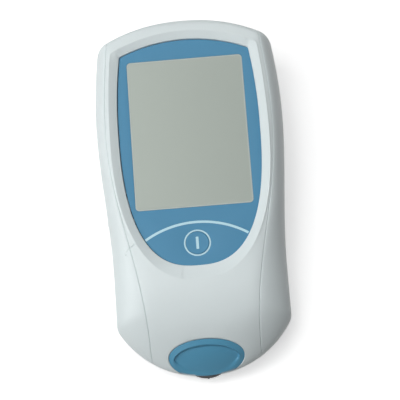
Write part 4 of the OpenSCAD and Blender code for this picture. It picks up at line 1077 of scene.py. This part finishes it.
def strip_cover():
    """Blue lid, on rays from its middle to the nearer of the opening's rim and the case's nose.

    An inner egg steps down into a crowned hollow. The step widens and fades towards the front,
    the rim rises outside it, and the edge is rounded, with a brow over the strip tongue.
    """
    a = np.linspace(0, 2 * np.pi, COVER_N, endpoint=False)
    dx, dy = np.cos(a), np.sin(a)
    rim = ray_to_egg(LID_Y, COVER_HW - COVER_GAP, COVER_FRONT - COVER_GAP,
                     COVER_BACK - COVER_GAP, COVER_Y, dx, dy)
    nose_r = NOSE_R - COVER_SET
    nose = ray_to_ellipse(LID_Y, nose_r, nose_r, NOSE_C, dx, dy)
    out = np.minimum(rim, nose)
    visor = VISOR_PROUD * np.clip(1 - (out * dx / BROW_HW) ** 4, 0, 1) ** 0.5
    out = out + np.where(nose < rim, visor, 0)
    dish_y = COVER_Y - DISH_STEP
    hollow = ray_to_egg(LID_Y, DISH_HW, DISH_FRONT, DISH_BACK, dish_y, dx, dy)
    fade = ease(dish_y - LID_Y - hollow * dy, FADE_FROM, FADE_TO)
    wide = STEP_W + STEP_FADE * fade
    brink, inner = hollow + STEP_OUT, out - COVER_EDGE
    r2 = np.minimum(brink, out - RIM_LEAST)
    r1 = np.minimum(brink - wide, out - RIM_LEAST - wide)
    s = np.concatenate([np.outer(np.linspace(0, 1, 15), r1),
                        r1 + np.outer(np.linspace(0, 1, 9)[1:], r2 - r1),
                        r2 + np.outer(np.sin(np.linspace(0, np.pi / 2, 14))[1:], inner - r2)])
    x, y = s * dx, LID_Y + s * dy
    fall = ease(brink - s, 0, wide)
    rim_w = inner - brink
    rise = (RIM_RISE * (1 - fade) * np.clip(rim_w / RIM_FULL, 0, 1)
            * np.clip((inner - s) / np.maximum(rim_w, 0.1), 0, 1))
    crown = DISH_CROWN * np.clip(1 - (s / hollow) ** 2, 0, 1)
    brow = np.clip((s - out + BROW_L) / BROW_L, 0, 1) ** 2 * np.clip((rim - nose) / 2, 0, 1)
    z = (skin_z(x, y) - COVER_SET - DISH_DEPTH * fall + rise * (1 - fall) - BROW_FALL * brow
         + crown)
    low = np.maximum(COVER_LOW + LID_LIFT, z[-1] - LID_SKIRT)
    drop = np.minimum(COVER_EDGE, np.maximum(z[-1] - low, 0.1) * 0.6)
    rings = [(inner + COVER_EDGE * np.sin(t), z[-1] - drop * (1 - np.cos(t)))
             for t in np.linspace(0, np.pi / 2, 6)[1:]] + [(out, low), (out - LID_WALL, low)]
    for f in (0.8, 0.6, 0.4, 0.2, 0.0):
        under = skin_z(out * f * dx, LID_Y + out * f * dy) - LID_T
        rings.append((out * f, np.maximum(under, COVER_LOW + LID_LIFT)))
    rows = [np.stack([r * dx, LID_Y + r * dy, h], -1) for r, h in [*zip(s, z), *rings]]
    shell("strip_lid", np.stack(rows, 1), LID, wrap_cols=False, body="strip_cover",
          instead="strip_guide_cover", angle=50)


def strip_guide():
    """Black guide: a rounded block and its round-fronted tongue, with the slot and a nub."""
    x = TONGUE_HW * np.linspace(-1, 1, 41)
    lip_y = -NOSE_Y - TONGUE_PROUD
    front = np.stack([x, lip_y + TONGUE_R - np.sqrt(TONGUE_R ** 2 - x ** 2)], 1)
    loop = np.concatenate([front, [[TONGUE_HW, GUIDE_Y + 2], [-TONGUE_HW, GUIDE_Y + 2]]])
    block = box_loop(GUIDE_W, GUIDE_L, 0, GUIDE_Y + GUIDE_L / 2, 0.5)
    guide = plate("strip_guide_block", [block], STRIP_Z - GUIDE_HALF_H, STRIP_Z + GUIDE_HALF_H,
                  0.3, HERE, BLACK, instead="strip_guide")
    low = STRIP_Z - TONGUE_HALF_H
    carve(guide, plate_shape([loop], low, STRIP_Z + TONGUE_HALF_H, 0.25), "UNION")
    nub = circle(NUB_R, 24, 0, lip_y + 0.25)
    carve(guide, stack(nub, [(0, low + 0.1), (0, STRIP_Z - SLOT_H / 2 - 0.1)]), "UNION")
    mouth = rounded_rect(SLOT_W, SLOT_H, 0.2, 4)
    carve(guide, stack(mouth, [(0.5, lip_y - 0.5), (0, lip_y + 0.5), (0, -60.0)],
                       through_end(0, STRIP_Z)))


strip_cover()
strip_guide()


# ---------------------------------------------------------------- back

# Profiles are (radius, height) points
FOOT = [(0, 0.12), (2.5, 0.12), (2.8, 0.0), (3.5, 0.0), (3.9, 0.12), (4.13, 0.35), (FOOT_R, 0.7),
        (FOOT_R, FOOT_H + FOOT_SET), (0, FOOT_H + FOOT_SET)]
SCREW = [(0, -10), (1.1, -10), (1.1, 0), (2.2, 0), (2.2, 0.9), (2.05, 1.25), (1.6, 1.5),
         (0.9, 1.6), (0, 1.6)]
PIN = [(0, 0.0), (1.1, 0.05), (1.6, 0.22), (1.9, 0.5), (2.0, 0.8), (2.0, 1.2), (1.0, 1.2),
       (1.0, 2.9), (0, 2.9)]
RESET_L = RESET_TOP - FOOT_H - RESET_SET
RESET = [(0, 0.25), (0.9, 0.2), (1.5, 0.08), (1.9, 0.0), (2.15, 0.06), (2.33, 0.25),
         (RESET_R, 0.5), (RESET_R, 6.0), (1.2, 6.0), (1.2, RESET_L), (0, RESET_L)]


def back_pieces():
    """Rubber feet, case screws with crossed slots, gold charging terminals and the reset key."""
    turned("rubber_feet_pads", FOOT, [flat_at(x, y, 0) for x, y in FEET], RUBBER, 48,
           instead="rubber_feet")
    spots = [hung_at(x, y, split_z(y) - SCREW_STEP) for x, y in POSTS]
    screws = turned("case_screw_heads", SCREW, spots, STEEL, 40, instead="case_screws")
    for w, h in ((2.6, 0.5), (0.5, 2.6)):
        slot = box_loop(w, h, r=0.1)
        carve(screws, together([stack(slot, [(0, 0.8), (0, 2.0)], spot) for spot in spots]))
    turned("charging_terminal_pins", PIN, [flat_at(x, y, FOOT_H + 0.3) for x, y in TERMINALS],
           GOLD, 40, instead="charging_terminals")
    turned("reset_key", RESET, [flat_at(0, RESET_Y, FOOT_H + RESET_SET)], RUBBER, 48,
           body="reset_key", instead="reset_button")


def battery_door():
    """Door plate with a rounded edge, its inner block, and seven round-bottomed grip grooves."""
    lap = 2 * DOOR_LAP
    door = plate("battery_door_plate", [box_loop(WELL_W + lap, WELL_L + lap, 0, CELL_Y, 1.5)],
                 FOOT_H, FOOT_H + DOOR_T, 0.12, HERE, CASE, low_edge=0.25, body="battery_lid",
                 instead="battery_door")
    inner = box_loop(WELL_W - 2 * DOOR_GAP, WELL_L - 2 * DOOR_GAP, 0, CELL_Y, 1.0)
    carve(door, plate_shape([inner], FOOT_H + 0.6, 3.2, 0.3), "UNION")
    levels = [(0.25, FOOT_H - 0.4), (0.06, FOOT_H + 0.1), (-0.1, FOOT_H + 0.33),
              (-0.3, FOOT_H + 0.42)]
    for i in range(7):
        grip = box_loop(16, 0.8, 0, CELL_Y - WELL_L / 2 + 4.4 + 1.6 * i, 0.38)
        carve(door, stack(grip, levels))


def code_chip():
    """Chip card with a rounded edge and four finger ridges per face, and gold pads below."""
    place = on_display(-CHIP_OUT + CHIP_L / 2, CHIP_V, CHIP_H)
    half = CHIP_T / 2
    card = plate("code_chip_card", [rounded_rect(CHIP_L, CHIP_W, 1.2, 8)], -half, half, 0.3,
                 place, CHIP, body="chip", instead="code_chip")
    for i in range(4):
        ridge = box_loop(0.7, 9.0, -CHIP_L / 2 + 1.5 + 1.3 * i, 0, 0.3)
        carve(card, stack(ridge, [(-0.15, 0.85), (0, 1.0), (0, 2.0)], place))
        carve(card, stack(ridge, [(0, -2.0), (0, -1.0), (-0.15, -0.85)], place))
    pads = [plate_shape([box_loop(4.5, 1.4, CHIP_L / 2 - 3, 2.2 * i, 0.2)], -half - 0.04,
                        -half + 0.1, 0.03, place, 2) for i in (-2, -1, 0, 1, 2)]
    solid("code_chip_pads", *together(pads), GOLD, body="chip")


back_pieces()
battery_door()
code_chip()


# ---------------------------------------------------------------- end wall and cells

JACK_PIN = [(0, 44.2), (1.0, 44.2), (1.0, 52.1), (0.9, 52.4), (0.6, 52.62), (0, 52.7)]
CAN = [(0, -25.25), (3.2, -25.25), (3.4, -25.1), (6.4, -25.1), (6.9, -24.8), (7.0, -24.3),
       (7.0, 23.2), (6.8, 23.7), (5.4, 23.9), (3.1, 24.0), (2.7, 24.1), (2.6, 24.4), (2.6, 25.0),
       (2.4, 25.25), (0, 25.25)]
WRAP = [(6.0, -25.0), (6.5, -25.15), (6.95, -25.0), (7.18, -24.7), (7.25, -24.2), (7.25, 23.3),
        (7.15, 23.75), (6.8, 23.98), (6.2, 24.02), (6.2, 23.85), (6.8, 23.7), (7.0, 23.3),
        (7.0, -24.2), (6.9, -24.8), (6.0, -24.9)]
STRIPE = [(7.22, 12.0), (7.28, 12.05), (7.28, 20.95), (7.22, 21.0)]


def infrared_window():
    """Window lens: a rounded rectangle swept along the end wall's arc, its ends rounded."""
    section = rounded_rect(IR_T, IR_H, IR_ROUND, 6)
    radius = TOP_R - IR_SET - IR_T / 2
    half, end = math.asin(IR_HW / radius), IR_ROUND / radius
    a = np.linspace(0, np.pi / 2, 6)
    inset = IR_ROUND * (1 - np.sin(a))
    shrink = np.concatenate([[0], inset, np.zeros(29), inset[::-1], [0]])
    tip = half - end * (1 - np.cos(a))
    turn = np.concatenate([[half], tip, np.linspace(half - end, end - half, 31)[1:-1],
                           -tip[::-1], [-half]])
    size = np.array([IR_T, IR_H]) / 2
    scale = (size - shrink[:, None]) / size
    scale[[0, -1]] = 0
    r = radius + section[:, 0] * scale[:, :1]
    z = IR_Z + section[:, 1] * scale[:, 1:]
    pts = np.stack([r * np.sin(turn)[:, None], TOP_C + r * np.cos(turn)[:, None], z], -1)
    shell("infrared_window_lens", pts, WINDOW, wrap_rows=False, instead="infrared_window")


def power_socket():
    """Socket body along the display's up direction with a flared bore, and its pin."""
    place, back = along_display(JACK_X, JACK_H), JACK_END - JACK_L
    body = plate("power_socket_body", [rounded_rect(9.0, 6.6, 0.6, 6)], back, JACK_END, 0.25,
                 place, BLACK, instead="power_socket")
    carve(body, stack(circle(JACK_R, 48), [(0, back + 2), (0, JACK_END - 0.3),
                                           (0.6, JACK_END + 0.3)], place))
    turned("power_socket_pin", JACK_PIN, [place], NICKEL, 32)


def batteries():
    """Four cells, every other one turned round: a can with its nub, a sleeve and a stripe."""
    for i in range(4):
        x, s, cell = (i - 1.5) * CELL_STEP, 1 if i % 2 else -1, "battery_%d" % (i + 1)
        place = [lambda a, b, h: np.stack([x + a, CELL_Y - s * h, CELL_Z + b], -1)]
        turned(cell + "_can", CAN, place, NICKEL, 56)
        turned(cell + "_sleeve", WRAP, place, SLEEVE, 56, True, instead=cell)
        turned(cell + "_band", STRIPE, place, BAND, 56, True)


infrared_window()
power_socket()
batteries()
